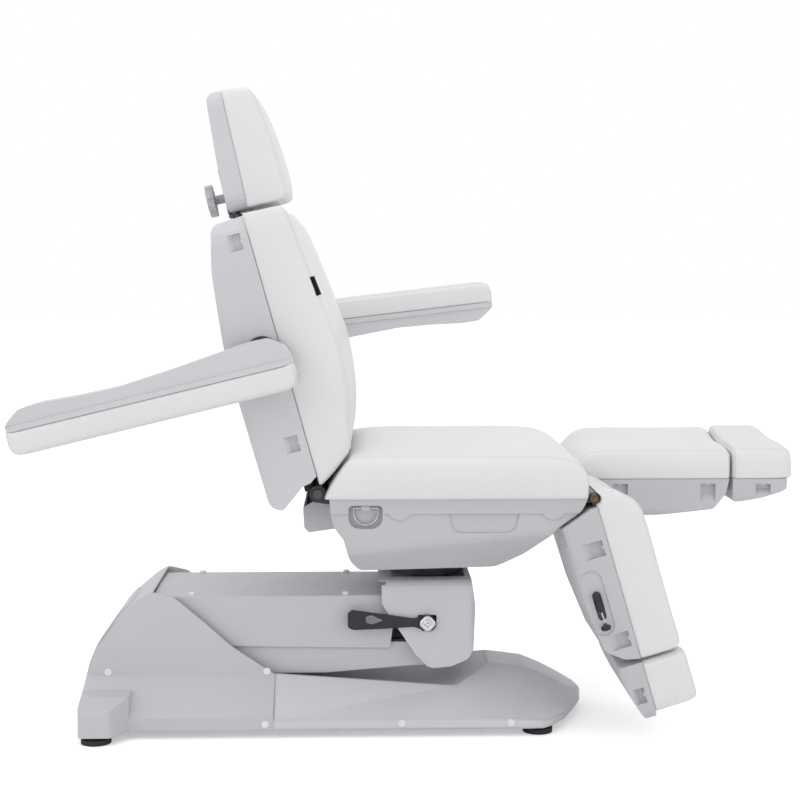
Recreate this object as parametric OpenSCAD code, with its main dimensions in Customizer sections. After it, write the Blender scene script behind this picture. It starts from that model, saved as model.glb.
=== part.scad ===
// Podiatry chair on a parallelogram lift: floor base, column, turntable, seat, backrest, headrest,
// two armrests and two legrests with sliding foot sections.
// Millimetres. X runs from head to feet, Y to the patient's left, Z up. The origin is on the floor
// under the swivel axis. The lift is down, the right leg hangs and the right armrest is swung back.

/* [Seat] */
// Length of the seat cushion
seat_l = 544; // [500:1:580]
// Width of the seat cushion
seat_w = 600; // [560:1:640]
// From the swivel axis to the front edge of the seat
seat_front = 331; // [310:1:350]
// Height of the seat cushion at its edges
seat_pad_t = 88; // [70:1:100]
// Rise of the seat cushion at its middle
seat_pad_crown = 25; // [5:1:35]
// Depth of the seat shell below the seam
tub_depth = 162; // [150:1:170]
// How far the seat shell lies inside the cushion at each side
tub_inset = 14; // [8:1:25]
// Greatest tilt of the seat, front up
seat_tilt_max = 12; // [6:1:14]

/* [Backrest] */
// Length of the backrest
back_l = 602; // [560:1:640]
// Width of the back cushion
back_w = 580; // [540:1:600]
// Thickness of the back cushion at its edges
back_pad_t = 118; // [90:1:130]
// Rise of the back cushion at its middle
back_pad_crown = 20; // [5:1:30]
// Depth of the back shell behind the cushion
back_shell_t = 115; // [95:1:125]
// Lean of the upright backrest from the vertical, in degrees
back_lean = 15.5; // [10:0.5:20]
// Diameter of the recline hinge pin
hinge_pin_d = 20; // [14:1:26]

/* [Headrest] */
// Length of the headrest
head_l = 252; // [220:1:280]
// Width of the headrest
head_w = 290; // [250:1:330]
// Thickness of the head cushion at its edges
head_pad_t = 92; // [70:1:105]
// Lean of the headrest from the vertical, in degrees
head_lean = 12.6; // [8:0.2:18]
// Diameter of the head knob
knob_d = 71; // [56:1:84]

/* [Armrests] */
// From the armrest pivot to the tip of the armrest
arm_l = 531; // [480:1:560]
// Width of an armrest
arm_w = 90; // [75:1:100]
// Thickness of an armrest pad
arm_pad_t = 48; // [36:1:60]
// Depth of the armrest shell at its pivot
arm_shell_t = 61; // [50:1:72]
// Rise of the lowered armrest above the horizontal, in degrees
arm_rise = 6.7; // [4:0.1:10]
// Swing of an armrest from lowered to swung back, in degrees
arm_swing = 186.9; // [170:0.1:190]

/* [Legrests] */
// Length of a legrest
leg_l = 354; // [320:1:380]
// Gap between the two legrests
leg_gap = 16; // [12:1:30]
// Depth of the legrest shell
leg_shell_t = 86; // [76:1:96]
// Thickness of the legrest cushion at its outer side
leg_pad_t = 96; // [78:1:106]
// Angle between a raised and a hanging legrest
leg_drop = 73.6; // [60:0.2:76]
// Length of a foot section
foot_l = 139; // [120:1:160]
// Depth of the foot section's shell
foot_shell_t = 55; // [46:1:62]
// Travel of a foot section
foot_travel = 120; // [60:5:150]
// Diameter of a slide rod of a foot section
slide_rod_d = 16; // [12:1:20]

/* [Column] */
// Length of the column cover along the chair
column_l = 211; // [200:1:225]
// Width of the column cover
column_w = 310; // [296:1:330]
// Diameter of the turntable
turntable_d = 170; // [150:1:184]
// Free height between the column cover and the seat shell
turn_gap = 36; // [30:1:45]

/* [Lift] */
// Length of the lift arm between its pivots
lift_l = 535; // [500:1:560]
// Height of the upper pivots with the lift down
lift_z = 235; // [225:1:245]
// Height of the column's top above the upper pivots
column_rise = 86; // [80:1:120]
// Height between the upper and the lower link
link_drop = 76; // [72:1:84]
// Turn of the lift arm from lowest to highest, in degrees
lift_turn = 32; // [20:1:34]
// Width of the lift arm's cover
arm_cover_w = 272; // [250:1:286]

/* [Base] */
// Width of the base covers
base_w = 480; // [440:1:520]
// From the swivel axis to the rear of the base
base_rear = 752; // [730:1:790]
// From the swivel axis to the front of the base
base_front = 353; // [330:1:380]
// Height of the rear cover
rear_cover_h = 281; // [276:1:300]
// Width over the outriggers
outrigger_w = 580; // [540:1:620]
// Diameter of a levelling foot
foot_d = 64; // [50:1:74]

/* [Walls and clearances] */
// Wall of the moulded covers
wall = 4; // [3:0.5:5]
// Thickness of the steel plates
plate_t = 6; // [5:0.5:8]
// Clearance between pieces that lie beside each other
gap = 0.3; // [0.3:0.05:0.8]
// Radial clearance of a shaft in its bore
run_gap = 0.05; // [0.02:0.01:0.1]

/* [Hidden] */

// Overrun of every cut past the face that it opens
over = 2;
// Largest turn between two facets of a rounded corner, in degrees
arc_step = 24;
// Half a corner that counts as straight, and the least share of one when drawn in
almost_flat = 89;
flat_share = 0.2;
// Sides of a round shape
sides = 48;
// Longer than any piece
reach = seat_l + back_l + base_rear + base_w;

// Seam between the seat shell and its cushion, with the lift down
seat_h = lift_z + column_rise + turn_gap + tub_depth;
// Knee hinge of the legrests
knee_setback = 12.5;
knee_x = seat_front + knee_setback;
knee_z = seat_h;
// Recline hinge
hinge_rise = 5;
hinge_setback = 22;
back_x = seat_front - seat_l - hinge_setback;
back_z = seat_h + hinge_rise;
// Colours
white_abs = "#dcdcde";
pale_abs = "#c9cace";
vinyl_white = "#eeeeee";
steel_grey = "#77797e";
dark_steel = "#4a4c50";
chrome = "#d8d9dc";
black_rubber = "#302f34";
black_plastic = "#303338";
brass = "#9a7f4c";
motor_grey = "#5b5e63";

// Points of a share table [x, y, radius] at a width and a height
function sized(shares, w, h) = [for (s = shares) [s[0] * w, s[1] * h, s[2] * h]];
// Outline moved by a vector
function moved(pts, v) = [for (p = pts) [p[0] + v[0], p[1] + v[1], p[2]]];
function unit(v) = v / norm(v);
function xy(p) = [p[0], p[1]];
function cross_z(u, v) = u[0] * v[1] - u[1] * v[0];
function before(pts, i) = pts[(i + len(pts) - 1) % len(pts)];
function after(pts, i) = pts[(i + 1) % len(pts)];

// Points of one corner, an arc where it has a radius
function corner(a, b, c, r) =
  let (u = unit(a - b), v = unit(c - b), open = acos(max(-1, min(1, u * v))) / 2)
  r <= 0 || open > almost_flat ? [b] :
  let (edge_share = 0.49, leg = min(r / tan(open), edge_share * min(norm(a - b), norm(c - b))),
    rr = leg * tan(open), centre = b + unit(u + v) * rr / sin(open), start = b + u * leg - centre,
    side = cross_z(b - a, c - b) > 0 ? 1 : -1, turn = 180 - 2 * open,
    steps = max(1, ceil(turn / arc_step)), from = atan2(start[1], start[0]))
  [for (k = [0:steps]) centre + rr * [cos(from + side * turn * k / steps),
  sin(from + side * turn * k / steps)]];

// Outline [x, y, radius] turned into plain points
function outline(pts) =
  [for (i = [0:len(pts) - 1]) each corner(xy(before(pts, i)), xy(pts[i]), xy(after(pts, i)), pts[i][2])];

// Counter-clockwise outline drawn in by a wall
function inset(pts, w) = [for (i = [0:len(pts) - 1])
  let (a = xy(before(pts, i)), b = xy(pts[i]), c = xy(after(pts, i)), u = unit(b - a), v = unit(c - b),
    m = [-u[1] - v[1], u[0] + v[0]], k = w / max(flat_share, 1 + u * v),
    turn = cross_z(u, v) > 0 ? -1 : 1)
  [b[0] + m[0] * k, b[1] + m[1] * k, pts[i][2] > 0 ? max(0, pts[i][2] + turn * w) : 0]];

// Rectangle from its low and high corners, with one radius
function slab(x0, x1, y0, y1, r = 0) = [[x0, y0, r], [x1, y0, r], [x1, y1, r], [x0, y1, r]];

// Profile in X and Z, drawn across the chair from y0 to y1
module across(pts, y0 = -reach, y1 = reach) {
  translate([0, y1, 0]) rotate([90, 0, 0]) linear_extrude(height = y1 - y0) polygon(outline(pts));
}
// Profile in Y and Z, drawn along the chair from x0 to x1
module along(pts, x0 = -reach, x1 = reach) {
  translate([x0, 0, 0]) rotate([90, 0, 90]) linear_extrude(height = x1 - x0) polygon(outline(pts));
}
// Profile in X and Y, drawn upwards from z0 to z1
module upright(pts, z0 = -reach, z1 = reach) {
  translate([0, 0, z0]) linear_extrude(height = z1 - z0) polygon(outline(pts));
}
module block(low, high) {
  translate(low) cube(high - low);
}
// Round bars along Y, X and Z, and a tube along Y
module bar_y(x, z, r, y0 = -reach, y1 = reach) {
  translate([x, y0, z]) rotate([-90, 0, 0]) cylinder(r = r, h = y1 - y0, $fn = sides);
}
// Round bar and profile that reach equally far to both sides
module shaft(x, z, r, half) {
  bar_y(x, z, r, -half, half);
}
module plate(pts, half) {
  across(pts, -half, half);
}
module bar_x(y, z, r, x0, x1) {
  translate([x0, y, z]) rotate([0, 90, 0]) cylinder(r = r, h = x1 - x0, $fn = sides);
}
module bar_z(x, y, r, z0, z1) {
  translate([x, y, z0]) cylinder(r = r, h = z1 - z0, $fn = sides);
}
module tube_y(x, z, r, bore, y0, y1) {
  difference() {
    bar_y(x, z, r, y0, y1);
    bar_y(x, z, bore, y0 - over, y1 + over);
  }
}
module both_sides() {
  children();
  mirror([0, 1, 0]) children();
}
// Frames of the parts that turn
module in_back() {
  translate([back_x, 0, back_z]) rotate([0, -back_lean, 0]) children();
}
// Closed skin through rings of equally many points
module skin(rings) {
  n = len(rings[0]);
  last = (len(rings) - 1) * n;
  around = [for (i = [0:len(rings) - 2], j = [0:n - 1])
    each [[i * n + j, (i + 1) * n + j, i * n + (j + 1) % n],
      [i * n + (j + 1) % n, (i + 1) * n + j, (i + 1) * n + (j + 1) % n]]];
  ends = [for (j = [1:n - 2]) each [[0, j, j + 1], [last, last + j + 1, last + j]]];
  polyhedron(points = [for (r = rings) each r], faces = concat(around, ends));
}
// Half section of a cushion, from its base to its crown: half width, edge height and crown
pad_section_shares = [[0, 0, 0], [0.965, 0, 0], [0.99, 0.12, 0], [1, 0.45, 0], [0.99, 0.76, 0],
  [0.965, 0.9, 0], [0.955, 0.935, 0], [0.94, 1, 0.03], [0.82, 1, 0.36], [0.6, 1, 0.72],
  [0.3, 1, 0.94], [0, 1, 1]];
// Ring of a cushion at a station [x, lean, edge, crown, half width], all shares
function pad_ring(s, l, h, crown, half, section) =
  let (n = len(section), right = [for (q = section)
    let (z = q[1] * s[2] * h + q[2] * s[3] * crown) [s[0] * l + s[1] * z, q[0] * s[4] * half, z]])
  concat(right, [for (i = [n - 2:-1:1]) [right[i][0], -right[i][1], right[i][2]]]);
// Cushion on the plane z = 0, from x = 0 to its length
module pad(stations, l, h, crown, half, section = pad_section_shares) {
  skin([for (s = stations) pad_ring(s, l, h, crown, half, section)]);
}

seat_rear = seat_front - seat_l;
tub_z = seat_h - tub_depth;
seat_pad_shares = [[0, 0.6, 0.9, 0, 0.955], [0.004, 0.6, 0.98, 0.1, 0.98], [0.03, 0.5, 1, 0.5, 0.995],
  [0.12, 0.25, 1, 0.85, 1], [0.3, 0.05, 1, 1, 1], [0.5, 0, 1, 1, 1], [0.7, 0, 1, 1, 1],
  [0.86, 0, 1, 0.85, 1], [0.94, 0, 1, 0.6, 1], [0.975, 0, 0.99, 0.35, 0.995], [0.992, 0, 0.93, 0.1, 0.985],
  [1, 0, 0.7, 0, 0.965]];
module seat_cushion() {
  color(vinyl_white) translate([seat_rear, 0, seat_h])
    pad(seat_pad_shares, seat_l, seat_pad_t, seat_pad_crown, seat_w / 2);
}

// Knee hinge, shared by the seat frame and both legrests
leg_half = (seat_w - leg_gap) / 4;
leg_mid = leg_gap / 2 + leg_half;
leg_side_shares = [[0.05, 0, 0], [0.05, -0.18, 0.05], [0.119, -0.985, 0.1], [0.23, -1, 0], [0.55, -0.965, 0],
  [0.893, -0.8, 0.15], [0.972, -0.39, 0.2], [0.994, 0, 0]];
leg_heel_a = 0.119 * leg_l;
knee_ear_r = 10;
knee_ear_t = 8;
knee_ear_y = [leg_gap / 2 + knee_ear_t, leg_gap / 2 + 2 * leg_half - 4 * knee_ear_t];
bush_wall = 4;
knee_bush_r = 11;
knee_pin_r = knee_bush_r - bush_wall;
knee_neck = 40;

// Seat shell
tub_w = seat_w - 2 * tub_inset;
tub_foot_w = 400;
tub_side_shares = [[0.006, 1, 0], [0.01, 0.81, 0.1], [0.022, 0.64, 0.2], [0.06, 0.47, 0.08],
  [0.084, 0.17, 0.2],
  [0.12, 0, 0.12], [0.66, 0, 0.25], [0.765, 0.215, 0.3], [0.866, 0.53, 0.1], [0.881, 0.608, 0.05],
  [0.975, 0.83, 0.3], [0.996, 1, 0]];
tub_side = moved(sized(tub_side_shares, seat_l, tub_depth), [seat_rear, tub_z]);
// Chine along which the sides turn in towards the bottom, rising to the front
tub_chine_rise = 5.6;
tub_chine_share = 0.4;
tub_corner_r = 30;
rim_h = 31;
rim_proud = 3.5;
rim_z = seat_h - rim_h;
scallop_r = 26;
scallop_places_shares = [0.274, 0.864];
tub_half = tub_w / 2 - rim_proud;
// Recesses in the sides: a shallow tab recess and a deeper one for the strap ring
tab_recess_shares = [[0.463, 0.803, 0], [0.48, 0.56, 0.13], [0.718, 0.56, 0.13], [0.735, 0.803, 0]];
tab_recess_d = 3;
ring_recess_shares = [[0.079, 0.92, 0.05], [0.079, 0.615, 0.14], [0.209, 0.615, 0.14], [0.209, 0.92, 0.05]];
ring_recess = moved(sized(ring_recess_shares, seat_l, tub_depth), [seat_rear, tub_z]);
ring_recess_d = 16;
ring_wire_r = 2.2;
ring_y = tub_half - ring_recess_d / 2;
ring_down_share = 0.12;
ring_z = seat_h - ring_down_share * tub_depth;
ring_shares = [0.097, 0.192];
ring_x = [for (s = ring_shares) seat_rear + s * seat_l];
ring_mid = (ring_x[0] + ring_x[1]) / 2;
ring_drop = 36;
ring_saddle_half = 9;
ring_saddle_r = 5;
tub_hole_gap = 16;
torque_wall = 6;
torque_r = hinge_pin_d / 2 + torque_wall;
ear_t = 8;
ear_in = 68;
ear_y = seat_w / 2 - ear_in;
ear_r = hinge_pin_d / 2 + ear_t;
ear_neck = 26;
slot_gap = 1;
motor_cover_half = 200;
module tub_form(w) {
  half = tub_half - w;
  foot = tub_foot_w / 2 - w;
  side = w > 0 ? inset(tub_side, w) : tub_side;
  chine = tub_z + tub_depth * tub_chine_share;
  low = 2 * foot - half;
  end = [[-low, 2 * tub_z - chine, 0], [low, 2 * tub_z - chine, 0], [half, chine, tub_corner_r],
    [half, seat_h + tub_depth, 0], [-half, seat_h + tub_depth, 0], [-half, chine, tub_corner_r]];
  intersection() {
    across(side);
    translate([0, 0, chine]) rotate([0, -tub_chine_rise, 0]) translate([0, 0, -chine]) along(end);
  }
}
module rim_band() {
  x0 = seat_rear + tub_side_shares[0][0] * seat_l;
  intersection() {
    plate(tub_side, tub_w / 2);
    union() {
      block([x0, -reach, rim_z], [seat_front, reach, seat_h]);
      for (s = scallop_places_shares)
        bar_y(seat_rear + s * seat_l, rim_z + scallop_r / 2, scallop_r);
    }
  }
}
module ring_saddle() {
  block([ring_mid - ring_saddle_half, tub_half - ring_recess_d - wall, ring_z - ring_saddle_r],
    [ring_mid + ring_saddle_half, ring_y + ring_saddle_r, ring_z + ring_saddle_r]);
}
module seat_shell() {
  color(pale_abs) difference() {
    union() {
      difference() {
        union() {
          tub_form(0);
          rim_band();
        }
        for (up = [0, 2 * wall]) translate([0, 0, up]) tub_form(wall);
      }
      intersection() {
        tub_form(0);
        both_sides() {
          across(inset(ring_recess, -wall), tub_half - ring_recess_d - wall, tub_half);
        }
      }
      both_sides() ring_saddle();
    }
    both_sides() {
      difference() {
        across(ring_recess, tub_half - ring_recess_d, tub_half + tub_inset);
        ring_saddle();
      }
      bar_x(ring_y, ring_z, ring_wire_r + run_gap, ring_x[0], ring_x[1]);
      across(moved(sized(tab_recess_shares, seat_l, tub_depth), [seat_rear, tub_z]),
        tub_half - tab_recess_d, tub_half + tub_inset);
      // Slots for the ears of the recline hinge
      block([seat_rear - hinge_setback, ear_y - slot_gap, seat_h - ear_neck - slot_gap],
        [seat_rear + hinge_setback, ear_y + ear_t + slot_gap, seat_h + over]);
      // Slots for the ears of the knee hinge
      for (y = knee_ear_y)
        block([seat_front - knee_neck, y - slot_gap, knee_z - knee_ear_r - slot_gap],
          [seat_front + over, y + knee_ear_t + slot_gap, seat_h + over]);
    }
    bar_z(0, 0, turntable_d / 2 + tub_hole_gap, tub_z - over, tub_z + wall + over);
    block([0, -tilt_bay[1], tub_z - over], [tilt_bay[0], tilt_bay[1], tub_z + tilt_bay[2]]);
    // Way for the foot of the recline motor
    block([seat_rear - over, gearbox_y[0] - slot_gap, seat_h - rail_h - slot_gap],
      [rail_x[0], gearbox_y[1] + slot_gap, seat_h - rail_h + plate_t + slot_gap]);
  }
}

// Seat frame: rails and cross tubes under the cushion, hinge ears behind, knee ears in front, tilt lugs below
rail_h = 28;
rail_w = 30;
rail_y = 165;
rail_in = 34;
rail_x = [seat_rear + rail_in, seat_front - rail_in];
cross_w = 26;
tilt_x = -60;
tilt_up = 46;
tilt_z = tub_z + tilt_up;
tilt_pin_r = 10;
tilt_lug_r = 20;
tilt_lug_y = 64;
tilt_lug_t = 10;
tilt_arm_l = 175;
tilt_rod_x = tilt_x + tilt_arm_l;
tilt_roller_r = 8;
tilt_slot_gap = 2;
tilt_rod_r = 10;
tilt_slot_l = 36;
tilt_bay = [176, 36, 30];
tilt_fork_half = 14;
tilt_fork_t = 6;
tilt_roller_z = seat_h - rail_h - tilt_roller_r - 2 * tilt_fork_t;
module ear_profile(bore) {
  x0 = rail_x[0] + cross_w;
  difference() {
    union() {
      circle(r = ear_r, $fn = sides);
      polygon([[0, -ear_r], [x0 - back_x, seat_h - ear_neck - back_z],
        [x0 - back_x, seat_h - back_z], [seat_rear - back_x, seat_h - back_z],
        [0, ear_r * sin(arc_step)]]);
    }
    circle(r = bore, $fn = sides);
  }
}
module seat_frame() {
  z0 = seat_h - rail_h;
  color(steel_grey) {
    difference() {
      union() {
        both_sides() {
          block([rail_x[0], rail_y, z0], [rail_x[1], rail_y + rail_w, seat_h]);
          translate([back_x, ear_y + ear_t, back_z]) rotate([90, 0, 0])
            linear_extrude(height = ear_t) ear_profile(hinge_pin_d / 2 + run_gap);
          for (y = knee_ear_y) knee_ear(y);
          difference() {
            union() {
              bar_y(tilt_x, tilt_z, tilt_lug_r, tilt_lug_y, tilt_lug_y + tilt_lug_t);
              block([tilt_x - tilt_lug_r, tilt_lug_y, tilt_z], [tilt_x + tilt_lug_r,
                tilt_lug_y + tilt_lug_t, seat_h - rail_h / 2]);
            }
            bar_y(tilt_x, tilt_z, tilt_pin_r + run_gap, 0, reach);
          }
        }
        // Cross tubes: front, rear, tilt hinge and tilt fork
        for (x = [rail_x[0], rail_x[1] - cross_w, tilt_x - cross_w / 2, tilt_rod_x - cross_w / 2])
          block([x, -rail_y - rail_w, z0], [x + cross_w, rail_y + rail_w, seat_h]);
        block([rail_x[0], -ear_y, z0], [rail_x[0] + cross_w, ear_y, seat_h]);
        block([rail_x[1] - cross_w, -knee_ear_y[1], z0], [rail_x[1], knee_ear_y[1], seat_h]);
        tilt_fork();
      }
      both_sides() bar_y(back_x, back_z, hinge_pin_d / 2 + run_gap, 0, reach);
    }
    both_sides() for (y = knee_ear_y) knee_pin(y);
  }
}
module knee_ear(y) {
  translate([0, y + knee_ear_t, 0]) rotate([90, 0, 0]) linear_extrude(height = knee_ear_t) difference() {
    union() {
      translate([knee_x, knee_z]) circle(r = knee_ear_r, $fn = sides);
      polygon([[knee_x, knee_z - knee_ear_r], [knee_x, knee_z], [seat_front, seat_h],
        [rail_x[1] - cross_w, seat_h], [rail_x[1] - cross_w, seat_h - knee_ear_r]]);
    }
    translate([knee_x, knee_z]) circle(r = knee_pin_r + run_gap, $fn = sides);
  }
}
// Pin of the knee hinge, from an ear into the bush of the legrest
knee_pin_l = 26;
module knee_pin(y) {
  inner = y < leg_mid;
  bar_y(knee_x, knee_z, knee_pin_r, inner ? y : y + knee_ear_t - knee_pin_l,
    inner ? y + knee_pin_l : y + knee_ear_t);
}
// Slotted fork under the seat, in which the roller of the tilt rod runs
module tilt_fork() {
  x = tilt_rod_x;
  z = tilt_roller_z;
  r = tilt_roller_r + tilt_slot_gap;
  both_sides() difference() {
    block([x - tilt_slot_l, tilt_fork_half, z - r - tilt_fork_t],
      [x + tilt_slot_l, tilt_fork_half + tilt_fork_t, seat_h - rail_h + over]);
    block([x - tilt_slot_l + tilt_fork_t, 0, z - r], [x + tilt_slot_l - tilt_fork_t, reach, z + r]);
  }
}
module recline_pins() {
  color(chrome) both_sides()
    bar_y(back_x, back_z, hinge_pin_d / 2, ear_y - pin_grip, ear_y + ear_t + pin_head_t);
}
pin_grip = 32;
pin_head_t = 3;

// Cover over the recline motor, behind the seat shell
motor_cover_shares = [[-0.37, 0.62, 0.06], [-0.345, 0.12, 0.1], [-0.24, 0, 0.1], [0.415, 0.09, 0],
  [0.236, 0.945, 0]];
motor_cover_l = 87;
motor_cover_h = 88;
motor_cover_side = moved(sized(motor_cover_shares, motor_cover_l, motor_cover_h),
  [back_x, back_z - motor_cover_h]);
module hinge_motor_cover() {
  color(pale_abs) difference() {
    plate(motor_cover_side, motor_cover_half);
    for (open = [[0, 0, 0], [0, 0, motor_cover_h / 2], [motor_cover_l / 2, 0, 0]]) translate(open)
      plate(inset(motor_cover_side, wall), motor_cover_half - wall);
    bar_y(back_x, back_z, torque_r + torque_room);
  }
}
torque_room = 6;
// Recline motor: gearbox round the torque tube, motor lying across below it
gearbox_y = [40, 92];
gearbox_half = 21;
motor_r = 20;
motor_l = 150;
motor_drop = 42;
module recline_motor() {
  color(motor_grey) {
    difference() {
      union() {
        bar_y(back_x, back_z, gearbox_half, gearbox_y[0], gearbox_y[1]);
        block([back_x - gearbox_half, gearbox_y[0], back_z - motor_drop - motor_r],
          [back_x + gearbox_half, gearbox_y[1], back_z]);
        bar_y(back_x, back_z - motor_drop, motor_r, gearbox_y[0] - motor_l, gearbox_y[0]);
        block([back_x, gearbox_y[0], seat_h - rail_h], [rail_x[0], gearbox_y[1], seat_h - rail_h + plate_t]);
      }
      bar_y(back_x, back_z, torque_r + run_gap);
    }
  }
}

// Strap ring: a bent wire loop whose top bar turns in the saddle of the seat shell
module strap_ring() {
  bow_r = (ring_x[1] - ring_x[0]) / 2;
  low = ring_z - ring_drop + bow_r;
  color(chrome) {
    bar_x(ring_y, ring_z, ring_wire_r, ring_x[0], ring_x[1]);
    for (x = ring_x) {
      bar_z(x, ring_y, ring_wire_r, low, ring_z);
      translate([x, ring_y, ring_z]) sphere(r = ring_wire_r, $fn = sides);
    }
    translate([ring_mid, ring_y, low]) rotate([-90, 0, 0]) rotate_extrude(angle = 180, $fn = sides)
      translate([bow_r, 0]) circle(r = ring_wire_r, $fn = sides);
  }
}

// Backrest, in its own frame: X to the front, Z up the back, the recline hinge at the origin
back_seam = 10.7;
back_bottom = 43;
back_pad_shares = [[0, 0, 0.12, 0, 0.95], [0.003, 0, 0.5, 0, 0.97], [0.01, 0, 0.7, 0.1, 0.985],
  [0.068, 0, 0.765, 0.7, 1], [0.172, 0, 0.816, 0.9, 1], [0.272, 0, 0.867, 1, 1], [0.372, 0, 0.918, 1, 1],
  [0.474, 0, 0.969, 1, 1], [0.533, 0, 1, 1.05, 1], [0.63, 0, 0.986, 1.1, 1], [0.724, 0, 0.935, 1.2, 1],
  [0.8, 0, 0.845, 1.35, 1], [0.835, 0, 0.808, 1.3, 1], [0.9, 0, 0.765, 0.9, 1], [0.935, 0, 0.745, 0.5, 0.995],
  [0.965, -0.1, 0.725, 0.1, 0.985], [0.99, -0.22, 0.7, 0, 0.975], [1, -0.28, 0.62, 0, 0.96]];
module back_cushion() {
  color(vinyl_white) in_back() translate([back_seam, 0, back_l + 3 * gap]) rotate([0, 90, 0])
    pad(back_pad_shares, back_l - back_bottom, back_pad_t, back_pad_crown, back_w / 2);
}
back_shell_inset = 5;
back_side_shares = [[0, 0.071, 0], [0, 1, 0], [-0.545, 0.993, 0.03], [-0.62, 0.975, 0.01],
  [-0.805, 0.84, 0.2],
  [-0.985, 0.58, 0.3], [-1, 0.395, 0.2], [-0.97, 0.01, 0.04], [-0.76, -0.015, 0.02], [-0.3, 0.048, 0.02],
  [-0.14, 0.053, 0]];
back_side = moved([for (s = back_side_shares) [s[0] * back_shell_t, s[1] * back_l, s[2] * back_l]],
  [back_seam, 0]);
back_shell_half = back_w / 2 - back_shell_inset;
back_corner_r = 45;
back_edge_r = 22;
back_notch_half = motor_cover_half + 2 * wall;
back_notch_r = 94;
arm_up_share = 0.528;
arm_up = arm_up_share * back_l;
arm_back = 27;
arm_shaft_r = 12;
module back_form(w) {
  side = w > 0 ? inset(back_side, w) : back_side;
  half = back_shell_half - w;
  section = [[back_seam + reach, -half, 0], [back_seam + reach, half, 0],
    [back_seam - back_shell_t + w, half, back_edge_r], [back_seam - back_shell_t + w, -half, back_edge_r]];
  rear = slab(-half, half, -reach, back_l - w, back_corner_r);
  intersection() {
    plate(side, half);
    upright(section);
    along(rear);
  }
}
// Round recess at each side for the armrest boss
arm_boss_r = 23;
arm_recess_gap = 5;
back_pocket_shares = [0.2, 0.915];
back_pocket_low = [16, 46];
module back_pocket(wall_t) {
  for (s = back_pocket_shares) translate([back_seam, 0, 0]) rotate([0, -90, 0]) mirror([0, 0, 1])
    side_pocket(s * back_l, back_shell_half, back_pocket_low, wall_t);
}
module back_shell() {
  color(pale_abs) in_back() difference() {
    union() {
      difference() {
        back_form(0);
        for (front = [0, 2 * wall]) translate([front, 0, 0]) back_form(wall);
      }
      intersection() {
        back_form(0);
        back_pocket(wall);
      }
    }
    back_pocket(0);
    translate([back_seam - back_shell_t, -back_notch_half, -back_l]) cube([2 * back_shell_t,
      2 * back_notch_half, back_l]);
    shaft(0, 0, back_notch_r, back_notch_half);
    bar_y(-arm_back, arm_up, arm_boss_r + arm_recess_gap);
    head_lug_slot();
    both_sides() for (s = back_screw_up_shares) {
      bar_x(upright_y + upright_w / 2, s * back_l, screw_r + gap, -reach, 0);
      bar_x(upright_y + upright_w / 2, s * back_l, screw_head_r + gap, -reach, back_screw_p);
    }
  }
}
// Back frame: torque tube, uprights, armrest shaft, head lugs
upright_y = 120;
upright_w = 30;
upright_p = [-30, -6];
head_lug_y = 34;
head_lug_t = 8;
head_lug_r = 9;
head_pin_r = 5;
head_up = 11;
head_off = 15;
back_cross_up_share = 0.93;
module head_lug_slot() {
  both_sides() block([-head_off - head_lug_r - slot_gap, head_lug_y - slot_gap, back_l - 3 * wall],
    [-head_off + head_lug_r + slot_gap, head_lug_y + head_lug_t + slot_gap, back_l + over]);
}
panel_t = 9;
panel_inset = 22;
module back_frame() {
  top = back_cross_up_share * back_l;
  color(dark_steel) in_back() {
    difference() {
      union() {
        shaft(0, 0, torque_r, ear_y - gap);
        both_sides() {
          block([upright_p[0], upright_y, 0], [upright_p[1], upright_y + upright_w, top]);
          bar_y(-head_off, back_l + head_up, head_lug_r, head_lug_y, head_lug_y + head_lug_t);
          block([-head_off - head_lug_r, head_lug_y, top - upright_w],
            [-head_off + head_lug_r, head_lug_y + head_lug_t, back_l + head_up]);
        }
        block([upright_p[0], -upright_y - upright_w, top - upright_w], [upright_p[1],
          upright_y + upright_w, top]);
        shaft(-arm_back, arm_up, arm_shaft_r, arm_shaft_end);
        block([back_seam - panel_t, -back_w / 2 + panel_inset, 3 * panel_inset],
          [back_seam, back_w / 2 - panel_inset, back_l - panel_inset]);
        both_sides() for (z = [4 * panel_inset, top - 2 * upright_w])
          block([upright_p[1], upright_y, z], [back_seam, upright_y + upright_w, z + upright_w]);
      }
      both_sides() bar_y(0, 0, hinge_pin_d / 2 + run_gap, ear_y - pin_grip - gap, reach);
      bar_y(-head_off, back_l + head_up, head_pin_r + run_gap);
    }
  }
}
// Screws that hold the back shell to the uprights
screw_head_r = 7;
screw_head_t = 3;
screw_r = 3;
back_screw_up_shares = [0.12, 0.3];
back_screw_back_share = 0.955;
back_screw_p = back_seam - back_screw_back_share * back_shell_t;
module back_screws() {
  color(white_abs) in_back() both_sides() for (s = back_screw_up_shares) {
    y = upright_y + upright_w / 2;
    bar_x(y, s * back_l, screw_r, back_screw_p, upright_p[0]);
    bar_x(y, s * back_l, screw_head_r, back_screw_p - screw_head_t, back_screw_p);
  }
}

// Headrest, in its own frame: X to the front, Z up, the head hinge at the origin
head_x = back_x - (back_l + head_up) * sin(back_lean) - head_off * cos(back_lean);
head_z = back_z + (back_l + head_up) * cos(back_lean) - head_off * sin(back_lean);
head_seam = 32;
head_base = 10;
head_shell_t = 44;
module in_head() {
  translate([head_x, 0, head_z]) rotate([0, -head_lean, 0]) children();
}
head_pad_shares = [[0, 0, 0.22, 0, 0.92], [0.012, 0, 0.5, 0, 0.96], [0.035, 0, 0.65, 0.2, 0.985],
  [0.14, 0, 0.73, 0.7, 1], [0.3, 0, 0.815, 1, 1], [0.48, 0, 0.885, 1, 1], [0.68, 0, 0.935, 1, 1],
  [0.84, 0, 0.97, 0.9, 1], [0.94, 0, 0.98, 0.5, 0.99], [0.985, 0, 0.95, 0.1, 0.98], [1, 0, 0.75, 0, 0.96]];
head_crown = 9;
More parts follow.
